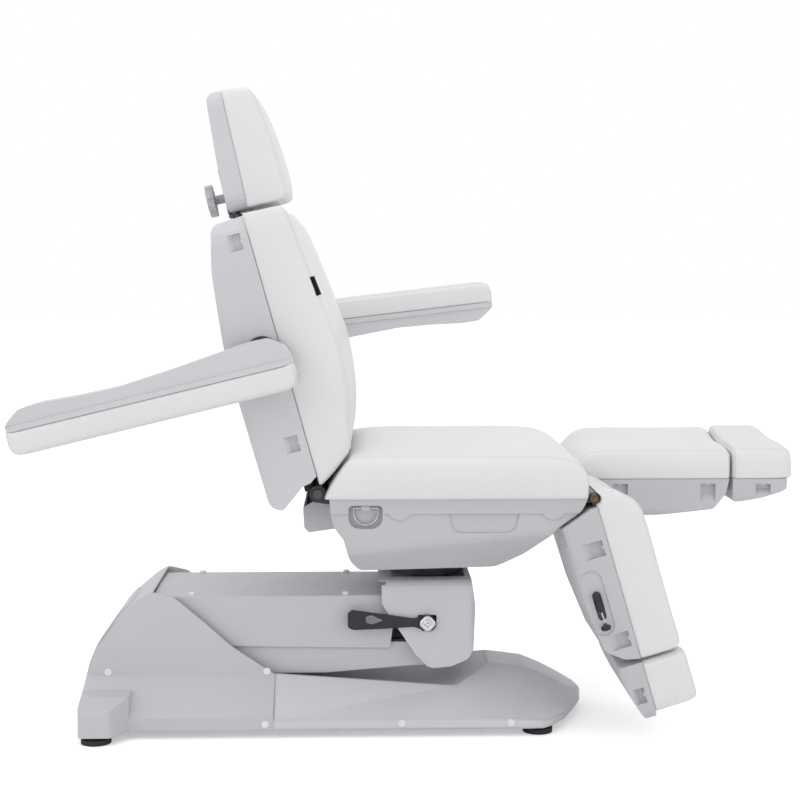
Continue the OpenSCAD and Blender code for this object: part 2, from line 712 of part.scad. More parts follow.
module head_cushion() {
  color(vinyl_white) in_head() translate([head_seam, 0, head_base + head_l]) rotate([0, 90, 0])
    pad(head_pad_shares, head_l, head_pad_t, head_crown, head_w / 2);
}
head_side_shares = [[0, 0, 0], [0, 1, 0], [-0.52, 1.005, 0.03], [-0.79, 0.955, 0.05], [-0.97, 0.4, 0.2],
  [-1, 0.02, 0.01], [-0.93, 0, 0]];
head_side = moved([for (s = head_side_shares) [s[0] * head_shell_t, s[1] * head_l, s[2] * head_l]],
  [head_seam, head_base]);
head_inset = 6;
head_corner_r = 30;
head_top_share = 1.01;
module head_form(w) {
  half = head_w / 2 - head_inset - w;
  side = w > 0 ? inset(head_side, w) : head_side;
  intersection() {
    plate(side, half);
    along(slab(-half, half, head_base + w, head_base + head_l * head_top_share - w, head_corner_r));
  }
}
module head_shell() {
  color(pale_abs) in_head() difference() {
    head_form(0);
    for (front = [0, 2 * wall]) translate([front, 0, 0]) head_form(wall);
    bar_x(0, head_knob_up, knob_stem_r + gap, -reach, 0);
  }
}
knob_stem_r = 10;
head_knob_up = 46;
knob_t = 16;
knob_lobe_r = 5;
knob_lobes = 8;
bracket_half = 46;
bracket_up = 108;
knob_stem_l = 24;
head_back = head_seam - head_shell_t;
// Bracket on the back of the head shell, with the knuckle of the head hinge at its foot
module head_hinge() {
  x1 = head_back - gap;
  color(dark_steel) in_head() {
    difference() {
      union() {
        block([x1 - plate_t, -bracket_half, head_base], [x1, bracket_half, bracket_up]);
        block([x1 - plate_t, -head_lug_y + gap, 0], [x1, head_lug_y - gap, head_base + over]);
        shaft(0, 0, head_lug_r, head_lug_y - gap);
        block([x1 - plate_t, -head_lug_y + gap, 0], [0, head_lug_y - gap, plate_t]);
      }
      bar_x(0, head_knob_up, knob_stem_r + run_gap, x1 - 2 * plate_t, x1 + over);
      bar_y(0, 0, head_pin_r + run_gap);
    }
    shaft(0, 0, head_pin_r, head_lug_y + head_lug_t + pin_head_t);
  }
}
module head_knob() {
  x0 = head_back - gap - plate_t - knob_stem_l;
  color(pale_abs) in_head() {
    difference() {
      bar_x(0, head_knob_up, knob_d / 2, x0 - knob_t, x0);
      for (k = [0:knob_lobes - 1]) bar_x(knob_d / 2 * cos(360 * k / knob_lobes),
        head_knob_up + knob_d / 2 * sin(360 * k / knob_lobes), knob_lobe_r, x0 - knob_t - over, x0 + over);
    }
    bar_x(0, head_knob_up, knob_stem_r, x0, head_back + wall);
  }
}

// Armrest, in its own frame: X towards the tip, Z towards the pad, Y outwards, the pivot at the origin
arm_x = back_x - arm_up * sin(back_lean) - arm_back * cos(back_lean);
arm_z = back_z + arm_up * cos(back_lean) - arm_back * sin(back_lean);
arm_gap = 15;
arm_in = back_w / 2 + arm_gap;
arm_mid = arm_in + arm_w / 2;
arm_seam = 30;
arm_shaft_in = 24;
arm_shaft_end = arm_in + arm_shaft_in;
module in_arm(side) {
  angle = side > 0 ? arm_rise : arm_rise + arm_swing;
  translate([arm_x, 0, arm_z]) rotate([0, -angle, 0]) mirror([0, side > 0 ? 0 : 1, 0]) children();
}
arm_tail = 61;
arm_full = arm_l + arm_tail;
arm_side_shares = [[0, 0.78, 0.1], [0.015, 0.38, 0.2], [0.07, 0.02, 0.3], [0.14, 0, 0.2], [0.4, 0.26, 1],
  [0.6, 0.41, 1],
  [0.74, 0.38, 0.8], [0.87, 0.295, 0.2], [0.935, 0.33, 0.1], [0.965, 0.54, 0.1], [0.985, 0.68, 0.1],
  [1, 0.82, 0.08],
  [1, 1, 0], [0, 1, 0]];
arm_side = moved(sized(arm_side_shares, arm_full, arm_shell_t), [-arm_tail, arm_seam - arm_shell_t]);
arm_plan_r = 26;
arm_side_in = 3;
arm_rim_h = 12;
module arm_form(w) {
  half = arm_w / 2 - arm_side_in - w;
  side = w > 0 ? inset(arm_side, w) : arm_side;
  translate([0, arm_mid, 0]) intersection() {
    plate(side, half);
    upright(slab(-arm_tail + w, arm_l - w, -half, half, arm_plan_r));
  }
}
module armrest_shell(side) {
  color(white_abs) in_arm(side) difference() {
    union() {
      difference() {
        union() {
          arm_form(0);
          translate([0, arm_mid, 0]) upright(slab(-arm_tail, arm_l, -arm_w / 2, arm_w / 2, arm_plan_r),
            arm_seam - arm_rim_h, arm_seam);
        }
        for (up = [0, 2 * wall]) translate([0, 0, up]) arm_form(wall);
      }
      bar_y(0, 0, arm_boss_r - wall, arm_in + arm_side_in, arm_shaft_end);
    }
    bar_y(0, 0, arm_shaft_r + run_gap, 0, arm_shaft_end + over);
    bar_y(0, 0, arm_boss_r + gap, 0, arm_in + arm_side_in);
  }
}
arm_pad_shares = [[0, 0, 0.6, 0, 0.8], [0.006, 0, 0.85, 0.2, 0.9], [0.02, 0, 0.95, 0.6, 0.97],
  [0.05, 0, 1, 1, 1], [0.5, 0, 1, 1, 1], [0.95, 0, 1, 1, 1],
  [0.98, 0, 0.95, 0.6, 0.97], [0.994, 0, 0.85, 0.2, 0.9], [1, 0, 0.6, 0, 0.8]];
arm_pad_crown = 4;
module armrest_pad(side) {
  color(vinyl_white) in_arm(side) translate([-arm_tail, arm_mid, arm_seam])
    pad(arm_pad_shares, arm_full, arm_pad_t, arm_pad_crown, arm_w / 2);
}
// Boss between the back shell and the armrest
module armrest_pivot(side) {
  color(black_plastic) in_arm(side)
    tube_y(0, 0, arm_boss_r, arm_shaft_r + run_gap, back_shell_half - arm_recess_gap, arm_in + arm_side_in);
}

// Legrest, in its own frame: X along the leg, Z towards the cushion, Y outwards, the knee hinge at the origin
module in_leg(side) {
  translate([knee_x, 0, knee_z]) rotate([0, side > 0 ? 0 : leg_drop, 0]) mirror([0, side > 0 ? 0 : 1,
    0]) children();
}
leg_in = 4;
leg_low_r = 18;
leg_side = sized(leg_side_shares, leg_l, leg_shell_t);
leg_end_share = 0.994;
function leg_end_outline(w, depth) = [[-leg_half + leg_in + w, -depth + w, leg_low_r],
  [leg_half - leg_in - w, -depth + w, leg_low_r], [leg_half - leg_in - w, depth, 0],
  [-leg_half + leg_in + w, depth, 0]];
module leg_form(w) {
  side = w > 0 ? inset(leg_side, w) : leg_side;
  translate([0, leg_mid, 0]) intersection() {
    plate(side, leg_half);
    along(leg_end_outline(w, leg_shell_t));
  }
}
// Screw pockets in the sides, below the seam: length, how far in, upper and lower edge
pocket_l = 34;
pocket_in = 13;
pocket_low = [11, 54];
pocket_places_shares = [0.29, 0.856];
// Hollow round the slot of the release lever
hollow_shares = [0.4, 0.8, -0.92, -0.38];
hollow_d = 3;
hollow_r = 22;
vent_a = [48, 82];
vent_y = [126, 132];
lever_a_share = 0.62;
lever_slot_half = 31.5;
lever_slot_r = 9;
lever_low_share = 0.62;
lever_a = lever_a_share * leg_l;
lever_h = -lever_low_share * leg_shell_t;
rod_y = 62;
slide_r = slide_rod_d / 2;
rod_h = -30;
rod_room = 1;
module side_pocket(a, half, low, wall_t = 0) {
  profile = [[half - pocket_in - wall_t, -low[0] + wall_t, 0], [half - pocket_in - wall_t,
    -(low[0] + low[1]) / 2, 0],
    [half - wall_t / 2, -low[1] - wall_t, 0], [half + over, -low[1] - wall_t, 0],
      [half + over, -low[0] + wall_t, 0]];
  both_sides() along(profile, a - pocket_l / 2 - wall_t, a + pocket_l / 2 + wall_t);
}
module leg_shell(side) {
  half = leg_half - leg_in;
  color(pale_abs) in_leg(side) difference() {
    union() {
      difference() {
        leg_form(0);
        for (up = [0, 2 * wall]) translate([0, 0, up]) leg_form(wall);
      }
      intersection() {
        leg_form(0);
        translate([0, leg_mid, 0]) for (s = pocket_places_shares) side_pocket(s * leg_l, half, pocket_low,
          wall);
      }
    }
    translate([0, leg_mid, 0]) for (s = pocket_places_shares) side_pocket(s * leg_l, half, pocket_low);
    // Hollow and slot of the release lever in the outer side
    translate([0, leg_mid + half, 0]) {
      across(slab(hollow_shares[0] * leg_l, hollow_shares[1] * leg_l, hollow_shares[2] * leg_shell_t,
        hollow_shares[3] * leg_shell_t, hollow_r), -hollow_d, over);
      across(slab(lever_a - lever_slot_half, lever_a + lever_slot_half, lever_h - lever_slot_r,
        lever_h + lever_slot_r, lever_slot_r), -4 * wall, over);
    }
    block([vent_a[0], leg_mid + vent_y[0], -leg_shell_t - over], [vent_a[1], leg_mid + vent_y[1],
      -leg_shell_t / 2]);
    // Ways for the slide rods, and for the arms of the leg frame
    for (y = [-rod_y, rod_y]) bar_x(leg_mid + y, rod_h, slide_r + rod_room, leg_l / 2, leg_l + over);
    block([0, leg_mid - leg_half + 3 * knee_ear_t, -plate_t - rod_room],
      [leg_heel_a, leg_mid + leg_half - 3 * knee_ear_t, over]);
  }
}
// Leg frame: bush at the knee, plate under the cushion, guide tubes for the slide rods, lever bracket
frame_start = 24;
guide_share = 0.64;
guide_end_share = 0.92;
guide_wall = 4;
guide_y_half = 10;
barrel_y = [knee_ear_y[0] + knee_ear_t + gap, knee_ear_y[1] - gap];
module leg_frame(side) {
  g0 = guide_share * leg_l;
  g1 = guide_end_share * leg_l;
  plate_end = leg_end_share * leg_l - 2 * wall - gap;
  color(brass) in_leg(side) tube_y(0, 0, knee_bush_r, knee_pin_r + run_gap, barrel_y[0], barrel_y[1]);
  color(steel_grey) in_leg(side) difference() {
    union() {
      block([frame_start, leg_mid - leg_half + 2 * knee_ear_t, -plate_t],
        [plate_end, leg_mid + leg_half - 2 * knee_ear_t, 0]);
      for (y = [barrel_y[0], barrel_y[1] - frame_start])
        block([0, max(y, leg_mid - leg_half + 3 * knee_ear_t + rod_room), -plate_t],
          [frame_start + over, min(y + frame_start, leg_mid + leg_half - 3 * knee_ear_t - rod_room), 0]);
      for (y = [-rod_y, rod_y]) {
        bar_x(leg_mid + y, rod_h, slide_r + guide_wall, g0, g1);
        block([g0, leg_mid + y - guide_y_half / 2, rod_h], [g1, leg_mid + y + guide_y_half / 2,
          -plate_t / 2]);
      }
      block([lever_a - lever_slot_half, lever_y0 - plate_t, lever_h - lever_slot_r],
        [lever_a + lever_slot_half, lever_y0, -plate_t / 2]);
    }
    bar_y(0, 0, knee_bush_r - rod_room / 2, 0, reach);
    for (y = [-rod_y, rod_y]) bar_x(leg_mid + y, rod_h, slide_r + run_gap, g0 - over, g1 + over);
  }
}
// Release lever: a plate behind the slot, a paddle in it and a round grip
lever_t = 5;
lever_travel = 8;
lever_paddle = [44, 12];
lever_grip_r = 8;
lever_y0 = leg_mid + leg_half - leg_in - 2 * wall - lever_t;
module leg_lever(side) {
  a0 = lever_a - lever_slot_half + 2 * gap;
  y1 = leg_mid + leg_half - leg_in + lever_t;
  color(black_plastic) in_leg(side) {
    translate([a0, 0, lever_h - lever_paddle[1] / 2]) {
      translate([0, y1, 0]) rotate([90, 0, 0]) linear_extrude(height = y1 - lever_y0 - gap)
        polygon(outline(slab(0, lever_paddle[0], 0, lever_paddle[1], lever_paddle[1] / 2)));
    }
    bar_y(a0 + lever_grip_r, lever_h, lever_grip_r, y1 - lever_t / 2, y1 + lever_t);
  }
}
// Legrest cushion, with its bolster along the outer side
leg_section_shares = [[0, 0, 0], [0.965, 0, 0], [0.99, 0.1, 0], [1, 0.4, 0], [0.995, 0.74, 0], [0.97, 0.9, 0],
  [0.93, 0.965, 0], [0.86, 0.99, 0.1], [0.74, 0.985, 0.3], [0.55, 0.93, 0.6], [0.3, 0.84, 0.9],
  [0.04, 0.785, 1],
  [0, 0.765, 1], [-0.04, 0.77, 1], [-0.35, 0.77, 0.9], [-0.65, 0.75, 0.6], [-0.88, 0.71, 0.2],
  [-0.945, 0.68, 0],
  [-0.965, 0.64, 0], [-0.99, 0.5, 0], [-1, 0.3, 0], [-0.99, 0.1, 0], [-0.965, 0, 0]];
leg_crown = 6;
function side_ring(s, l, h, crown, half) = [for (q = leg_section_shares)
  let (z = q[1] * s[2] * h + q[2] * s[3] * crown)
  [s[0] * l + s[1] * z - (q[0] > 0 ? s[5] * q[0] * l : 0), q[0] * s[4] * half, z]];
leg_pad_start = -10;
leg_pad_shares = [[0, 0, 0.45, 0, 0.955, 0], [0.006, 0, 0.56, 0, 0.985, 0], [0.04, 0, 0.66, 0.2, 1, 0],
  [0.075, 0, 0.8, 0.5, 1, 0], [0.105, 0, 0.92, 0.8, 1, 0], [0.15, 0, 0.99, 1, 1, 0], [0.5, 0, 1, 1, 1, 0],
  [0.95, 0, 1, 1, 1, 0], [0.985, 0, 0.98, 0.5, 0.99, 0],
  [1, 0, 0.9, 0.1, 0.97, 0]];
module leg_cushion(side) {
  color(vinyl_white) in_leg(side) difference() {
    translate([leg_pad_start, leg_mid, 0]) skin([for (s = leg_pad_shares)
      side_ring(s, leg_l - leg_pad_start - gap, leg_pad_t, leg_crown, leg_half)]);
    bar_y(0, 0, knee_bush_r + rod_room, 0, reach);
  }
}
// Foot section
foot_gap = 6;
foot_a = leg_l + foot_gap;
foot_side_shares = [[0, 0, 0], [0, -0.9, 0.1], [0.06, -1, 0.1], [0.28, -0.9, 0.1], [0.5, -0.78, 0.1],
  [0.78, -0.56, 0.1], [0.9, -0.42, 0.1], [0.92, 0, 0]];
foot_side = moved(sized(foot_side_shares, foot_l, foot_shell_t), [foot_a, 0]);
foot_corner_r = 34;
foot_end_share = 0.92;
module foot_form(w) {
  side = w > 0 ? inset(foot_side, w) : foot_side;
  half = leg_half - leg_in - w;
  translate([0, leg_mid, 0]) intersection() {
    plate(side, leg_half);
    along([[-half, -foot_shell_t + w, leg_low_r], [half, -foot_shell_t + w, leg_low_r],
      [half, leg_shell_t, 0],
      [-half, leg_shell_t, 0]]);
    upright([[foot_a, -half, 0], [foot_a + foot_end_share * foot_l - w, -half, foot_corner_r / 2],
      [foot_a + foot_end_share * foot_l - w, half, foot_corner_r], [foot_a, half, 0]]);
  }
}
module foot_shell(side) {
  half = leg_half - leg_in;
  color(pale_abs) in_leg(side) difference() {
    union() {
      difference() {
        foot_form(0);
        for (up = [0, 2 * wall]) translate([0, 0, up]) foot_form(wall);
      }
      intersection() {
        foot_form(0);
        translate([0, leg_mid, 0]) side_pocket(foot_a + foot_l / 2, half, foot_pocket_low, wall);
      }
      for (y = [-rod_y, rod_y]) bar_x(leg_mid + y, rod_h, slide_r + wall, foot_a, foot_a + foot_socket_l);
    }
    for (y = [-rod_y, rod_y]) bar_x(leg_mid + y, rod_h, slide_r + run_gap, foot_a - over,
      foot_a + foot_socket_l);
    translate([0, leg_mid, 0]) side_pocket(foot_a + foot_l / 2, half, foot_pocket_low);
  }
}
foot_pocket_low = [12, 36];
foot_socket_l = 34;
rod_grip = 40;
rod_inner = foot_travel + rod_grip;
module foot_rods(side) {
  color(chrome) in_leg(side) for (y = [-rod_y, rod_y])
    bar_x(leg_mid + y, rod_h, slide_r, foot_a - rod_inner, foot_a + foot_socket_l - rod_room);
}
foot_pad_shares = [[0, 0, 0.9, 0.1, 0.97, 0], [0.02, 0, 0.98, 0.5, 0.99, 0], [0.08, 0, 1, 1, 1, 0],
  [0.3, 0, 1, 1, 1, 0], [0.55, 0, 1, 1, 1, 0.01], [0.75, 0, 1, 1, 0.99, 0.05],
  [0.86, 0, 0.98, 0.8, 0.96, 0.1],
  [0.94, 0, 0.93, 0.5, 0.9, 0.14], [0.985, 0, 0.85, 0.2, 0.83, 0.16], [1, 0, 0.6, 0, 0.8, 0.165]];
module foot_cushion(side) {
  color(vinyl_white) in_leg(side) translate([foot_a, leg_mid, 0])
    skin([for (s = foot_pad_shares) side_ring(s, foot_l, leg_pad_t, leg_crown, leg_half)]);
}

// Lift
column_x = -12;
lift_x = column_x - lift_l;
link_z = lift_z - link_drop;
lift_pin_r = 12;
bush_over = 10;
bush_r = lift_pin_r + bush_over;
bracket_y = [80, 88];
arm_plate_y = [60, 68];
link_plate_y = [70, 78];
lift_lug = [345, -45];
lift_lug_r = 10;
lift_eye_gap = 7;
lift_motor_z = 62;
motor_base = [95, lift_motor_z - lift_z];
lift_tube_r = 26;
lift_rod_r = 13;
lift_tube_l = 190;
lift_angle_0 = atan2(lift_lug[1] - motor_base[1], lift_lug[0] - motor_base[0]);
lift_dist_0 = norm(lift_lug - motor_base);
plate_belly_shares = [[0, 0.9, 0], [0.35, 1, 0], [0.65, 1, 0], [1, 0.9, 0], [1, -0.9, 0], [0.72, -2.8, 0],
  [0.58, -2.8, 0], [0.25, -1, 0], [0, -0.9, 0]];
module lift_arm() {
  color(dark_steel) translate([lift_x, 0, lift_z]) difference() {
    union() {
      both_sides()
        across([for (i = [len(plate_belly_shares) - 1:-1:0]) [plate_belly_shares[i][0] * lift_l,
          plate_belly_shares[i][1] * bush_r, 0]], arm_plate_y[0], arm_plate_y[1]);
      for (x = [0, lift_l]) shaft(x, 0, bush_r, bracket_y[0] - gap);
      shaft(lift_lug[0], lift_lug[1], lift_lug_r, arm_plate_y[0]);
      // Ties between the plates, and pads under the top cover
      for (s = arm_tie_shares) shaft(s * lift_l, 0, lift_lug_r, arm_plate_y[0]);
      for (s = arm_tie_shares) block([s * lift_l, -arm_plate_y[1], bush_r - plate_t],
        [s * lift_l + bush_r, arm_plate_y[1], cover_top - wall]);
    }
    for (x = [0, lift_l]) bar_y(x, 0, lift_pin_r + run_gap);
  }
}
arm_tie_shares = [0.17, 0.78];
cover_top = 54;
cover_tail = 50;
cover_skirt = 66;
cover_slope = 9;
cover_nose = 466;
cover_corner_r = 5;
module arm_top_cover() {
  half = arm_cover_w / 2;
  side = [[-cover_tail, -cover_skirt + cover_slope, 0], [cover_nose, -cover_skirt, 0],
    [cover_nose + cover_slope, 0, 0],
    [cover_nose + cover_slope, cover_top, 0], [-cover_tail, cover_top, 0]];
  color(white_abs) translate([lift_x, 0, lift_z]) difference() {
    intersection() {
      plate(side, half);
      along([[-half, -reach, 0], [half, -reach, 0], [half, cover_top - wall / 2, cover_corner_r],
        [0, cover_top, 0], [-half, cover_top - wall / 2, cover_corner_r]]);
    }
    along([[-half + wall, -reach, 0], [half - wall, -reach, 0], [half - wall, cover_top - wall,
      cover_corner_r - wall],
      [-half + wall, cover_top - wall, cover_corner_r - wall]], -cover_tail - over, reach);
    for (x = arm_screw_x) both_sides() {
      bar_z(x, half - arm_screw_in, screw_r + gap, 0, reach);
      bar_z(x, half - arm_screw_in, screw_head_r + gap, arm_screw_z, reach);
    }
  }
}
arm_screw_x = [34, 369];
arm_screw_in = 11;
arm_screw_z = cover_top - wall / 2 - gap;
module arm_screws() {
  half = arm_cover_w / 2;
  color(white_abs) translate([lift_x, 0, lift_z]) both_sides() for (x = arm_screw_x) {
    bar_z(x, half - arm_screw_in, screw_r, cover_top - 5 * wall, arm_screw_z);
    bar_z(x, half - arm_screw_in, screw_head_r, arm_screw_z, cover_top + screw_head_t);
  }
}
module lift_link() {
  r = bush_r - bush_wall;
  color(dark_steel) translate([lift_x, 0, link_z]) difference() {
    union() {
      both_sides() block([0, link_plate_y[0], -r + wall], [lift_l, link_plate_y[1], r - wall]);
      shaft(0, 0, r, bracket_y[0] - gap);
      both_sides() bar_y(lift_l, 0, r, link_plate_y[0], bracket_y[0] - gap);
      both_sides() for (s = link_foot_shares)
        block([s * lift_l, link_plate_y[0], tray_z + wall], [s * lift_l + r, link_plate_y[1] + r,
          -r + 2 * wall]);
    }
    bar_y(0, 0, lift_pin_r + run_gap);
    bar_y(lift_l, 0, lift_pin_r + open_gap);
  }
}
open_gap = 1;
link_foot_shares = [0.28, 0.52];
tray_z = -46;
tray_h = 68;
tray_x = [70, 541];
tray_half_in = 4;
tray_rise = 16;
motor_slot_half = 34;
motor_slot_share = 0.75;
tray_flat_share = 0.6;
module arm_bottom_cover() {
  half = arm_cover_w / 2 - wall - tray_half_in;
  side = [[tray_x[0], tray_z, 0], [tray_x[1] * tray_flat_share, tray_z, 0],
    [tray_x[1] - tray_rise, tray_z + tray_rise, 0],
    [tray_x[1], tray_z + tray_rise, 0], [tray_x[1], tray_z + tray_h, 0], [tray_x[0], tray_z + tray_h, 0]];
  color(white_abs) translate([lift_x, 0, link_z]) difference() {
    plate(side, half);
    translate([0, 0, wall]) plate(side, half - wall);
    block([tray_x[0] - over, -half + wall, tray_z + tray_rise + wall], [tray_x[1] + over, half - wall,
      tray_h]);
    block([tray_x[0] - over, -motor_slot_half, tray_z - over], [tray_x[1] * motor_slot_share,
      motor_slot_half, tray_h]);
  }
}
module in_lift_motor() {
  translate([lift_x + motor_base[0], 0, lift_z + motor_base[1]]) rotate([0, -lift_angle_0, 0]) children();
}
motor_pin_r = 8;
motor_eye_r = 18;
eye_half = 12;
gear_case = [46, 30];
gear_x = motor_eye_r + bush_wall;
rod_end_r = lift_lug_r + lift_eye_gap + plate_t;
module lift_motor() {
  color(motor_grey) in_lift_motor() difference() {
    union() {
      shaft(0, 0, motor_eye_r, eye_half);
      block([0, -eye_half, -eye_half], [gear_x, eye_half, eye_half]);
      block([gear_x, -gear_case[1], -motor_eye_r], [gear_x + gear_case[0], gear_case[1], lift_tube_r]);
      bar_x(0, 0, lift_tube_r, gear_x + gear_case[0] / 2, lift_tube_l);
    }
    bar_y(0, 0, motor_pin_r + run_gap);
    bar_x(0, 0, lift_rod_r + run_gap, gear_x + gear_case[0], lift_tube_l + over);
  }
}
module lift_rod() {
  color(chrome) in_lift_motor() difference() {
    union() {
      bar_x(0, 0, lift_rod_r, gear_x + gear_case[0] + wall, lift_dist_0 - lift_lug_r);
      shaft(lift_dist_0, 0, rod_end_r, eye_half);
    }
    bar_y(lift_dist_0, 0, lift_lug_r + lift_eye_gap);
  }
}

// Column
column_top = tub_z - turn_gap;
column_base = 128;
column_side_shares = [[-0.5, 1, 0], [-0.49, 0.79, 0.05], [-0.46, 0.72, 0.1], [-0.12, 0.155, 0.1],
  [0, 0.02, 0.1],
  [0.06, 0, 0.05], [0.25, 0.02, 0.1], [0.42, 0.1, 0.1], [0.48, 0.2, 0.1], [0.5, 0.7, 0.2], [0.46, 1, 0]];
column_h = column_top - column_base;
column_side = moved(sized(column_side_shares, column_l, column_h), [0, column_base]);
edge_r = 16;
column_top_r = 20;
module column_form(w) {
  side = w > 0 ? inset(column_side, w) : column_side;
  half = column_w / 2 - w;
  intersection() {
    plate(side, half);
    upright(slab(-column_l / 2 + w, column_l / 2 - w, -half, half, edge_r));
    along([[-half, 0, 0], [half, 0, 0], [half, column_top - w, column_top_r - w],
      [-half, column_top - w, column_top_r - w]]);
  }
}
open_shares = [0.43, 0.12, 0.06];
column_slant = 31;
hub_r = 14;
hub_drop = 5;
hub_z = lift_z - hub_drop;
window = 20;
top_open_half = 105;
module column_cover() {
  half = column_w / 2;
  color(white_abs) difference() {
    column_form(0);
    for (back = [0, column_l / 2]) translate([-back, 0, 0]) column_form(wall);
    // Open to the rear and below for the arm
    block([-column_l, -half + wall, 0], [-column_l * open_shares[0], half - wall, column_top - wall]);
    translate([-column_l * open_shares[1], 0, 0]) rotate([0, column_slant, 0])
      block([-column_l, -half + wall, -column_l], [0, half - wall, column_top / 2]);
    block([-column_l, -half + wall, 0], [column_l * open_shares[2], half - wall, column_base + 3 * wall]);
    upright(slab(-turntable_d / 2, turntable_d / 2, -top_open_half, top_open_half, column_top_r / 2),
      column_top - 2 * wall, column_top + over);
    // Window behind the hub, straight above and round below
    across(moved([[-window, window - wall, 0], [-window, -window / 2, window / 2],
      [-window / 2, -window, window / 2], [window / 2, -window, window / 2],
      [window, -window / 2, window / 2], [window, window - wall, wall]], [0, hub_z]),
      -half - over, -half + 2 * wall);
  }
}
hub_bolt_r = 8;
spigot_r = 30;
head_block_up = 27;
head_block_z = lift_z + head_block_up;
head_post_x = [38, 62];
module column_head() {
  top = column_top - wall - gap;
  color(steel_grey) difference() {
    union() {
      both_sides() {
        block([column_x - bush_r, bracket_y[0], link_z], [head_post_x[1], bracket_y[1], top]);
        bar_y(column_x, link_z, bush_r, bracket_y[0], bracket_y[1]);
      }
      block([column_x - bush_r, column_top_r - column_w / 2, top - 3 * wall],
        [head_post_x[1], column_w / 2 - column_top_r, top]);
      block([head_post_x[0], -bracket_y[1], link_z], [head_post_x[1], bracket_y[1], top]);
      bar_z(0, 0, bearing_bore + gap, head_block_z, top);
      bar_y(0, hub_z, hub_r + bush_wall, -column_w / 2 + wall + gap, -bracket_y[0]);
    }
    bar_z(0, 0, spigot_r + run_gap, head_block_z - over, reach);
    both_sides() for (z = [lift_z, link_z]) bar_y(column_x, z, lift_pin_r + run_gap, 0, reach);
    bar_y(0, hub_z, hub_bolt_r + run_gap, -reach, -bracket_y[0]);
  }
  color(chrome) {
    shaft(column_x, lift_z, lift_pin_r, bracket_y[1] + pin_head_t);
    both_sides() bar_y(column_x, link_z, lift_pin_r, link_plate_y[0], bracket_y[1] + pin_head_t);
  }
}
bearing_h = 9;
bearing_bore = spigot_r + 10;
module turntable_bearing() {
  z0 = column_top - wall - gap;
  color(dark_steel) difference() {
    bar_z(0, 0, turntable_d / 2 - wall, z0, column_top + bearing_h);
    bar_z(0, 0, bearing_bore, z0 - over, column_top + bearing_h + over);
  }
}
module turntable_plate() {
  z0 = column_top + bearing_h + gap;
  top = tub_z + 2 * wall;
  color(dark_steel) difference() {
    union() {
      bar_z(0, 0, turntable_d / 2, z0, top);
      bar_z(0, 0, spigot_r, head_block_z + wall, z0 + over);
      both_sides() {
        block([tilt_x - tilt_lug_r, tilt_cheek_y, top - wall], [tilt_x + tilt_lug_r,
          tilt_cheek_y + tilt_lug_t, tilt_z]);
        bar_y(tilt_x, tilt_z, tilt_lug_r, tilt_cheek_y, tilt_cheek_y + tilt_lug_t);
      }
      // Arm that carries the tilt motor
      block([0, -tilt_seat_half, top - 2 * wall], [tilt_rod_x + tilt_seat_half, tilt_seat_half, top]);
    }
    both_sides() bar_y(tilt_x, tilt_z, tilt_pin_r + run_gap, 0, reach);
  }
  color(chrome) shaft(tilt_x, tilt_z, tilt_pin_r, tilt_lug_y + tilt_lug_t + pin_head_t);
}
tilt_cheek_y = tilt_lug_y - tilt_lug_t - gap;
tilt_seat_half = 30;
lever_tail = 173;
lever_blade_t = 8;
lock_lever_shares = [[-1, -0.22, 0.15], [-0.93, -0.35, 0.15], [-0.57, -0.3, 0.3], [-0.17, -0.2, 0.2],
  [0, -0.45, 0.3],
  [0.12, 0, 0.2], [0, 0.45, 0.3], [-0.17, 0.21, 0.2], [-0.57, 0.46, 0.3], [-0.95, 0.68, 0.15],
  [-1, 0.5, 0.15]];
lever_width = 42;
lever_hole_shares = [[-0.775, 0.02, 0.15], [-0.7, -0.1, 0.2], [-0.54, 0.12, 0.05], [-0.7, 0.42, 0.2],
  [-0.775, 0.36, 0.15]];
lock_y = -column_w / 2 - gap;
module lock_lever() {
  color(black_plastic) difference() {
    union() {
      translate([0, 0, hub_z]) across(sized(lock_lever_shares, lever_tail, lever_width),
        lock_y - lever_blade_t, lock_y);
      bar_y(0, hub_z, hub_r + pin_head_t, lock_y - lever_blade_t, lock_y);
    }
    bar_y(0, hub_z, hub_bolt_r + run_gap, -reach, 0);
    translate([0, 0, hub_z]) across(sized(lever_hole_shares, lever_tail, lever_width), lock_y - reach, 0);
  }
}
module lock_hub() {
  y0 = lock_y - lever_blade_t - gap;
  color(chrome) {
    bar_y(0, hub_z, hub_r, y0 - lever_t, y0);
    bar_y(0, hub_z, hub_bolt_r, y0 - gap, -bracket_y[1] - pin_head_t);
  }
}
module tilt_motor() {
  x = tilt_rod_x;
  z0 = tub_z + 2 * wall;
  color(motor_grey) difference() {
    union() {
      bar_z(x, 0, tilt_body_r, z0, z0 + tilt_body_h);
      block([x, -tilt_body_r, z0], [x + 2 * tilt_body_r, tilt_body_r, z0 + tilt_body_h / 2]);
    }
    bar_z(x, 0, tilt_rod_r + run_gap, z0 + 2 * wall, z0 + tilt_body_h + over);
  }
}
tilt_body_r = 24;
tilt_body_h = 70;
module tilt_rod() {
  x = tilt_rod_x;
  z0 = tub_z + 4 * wall;
  color(chrome) {
    bar_z(x, 0, tilt_rod_r, z0 + gap, tilt_roller_z);
    shaft(x, tilt_roller_z, tilt_roller_r, tilt_fork_half + tilt_fork_t);
  }
}

// Base
base_floor = 17;
base_split = -332;
outrigger_x = [-739, -670];
rear_foot = [-704, 258];
front_foot = [237, 198];
frame_z = 26;
frame_h = 25;
rail_half = 110;
bracket_x_half = 34;
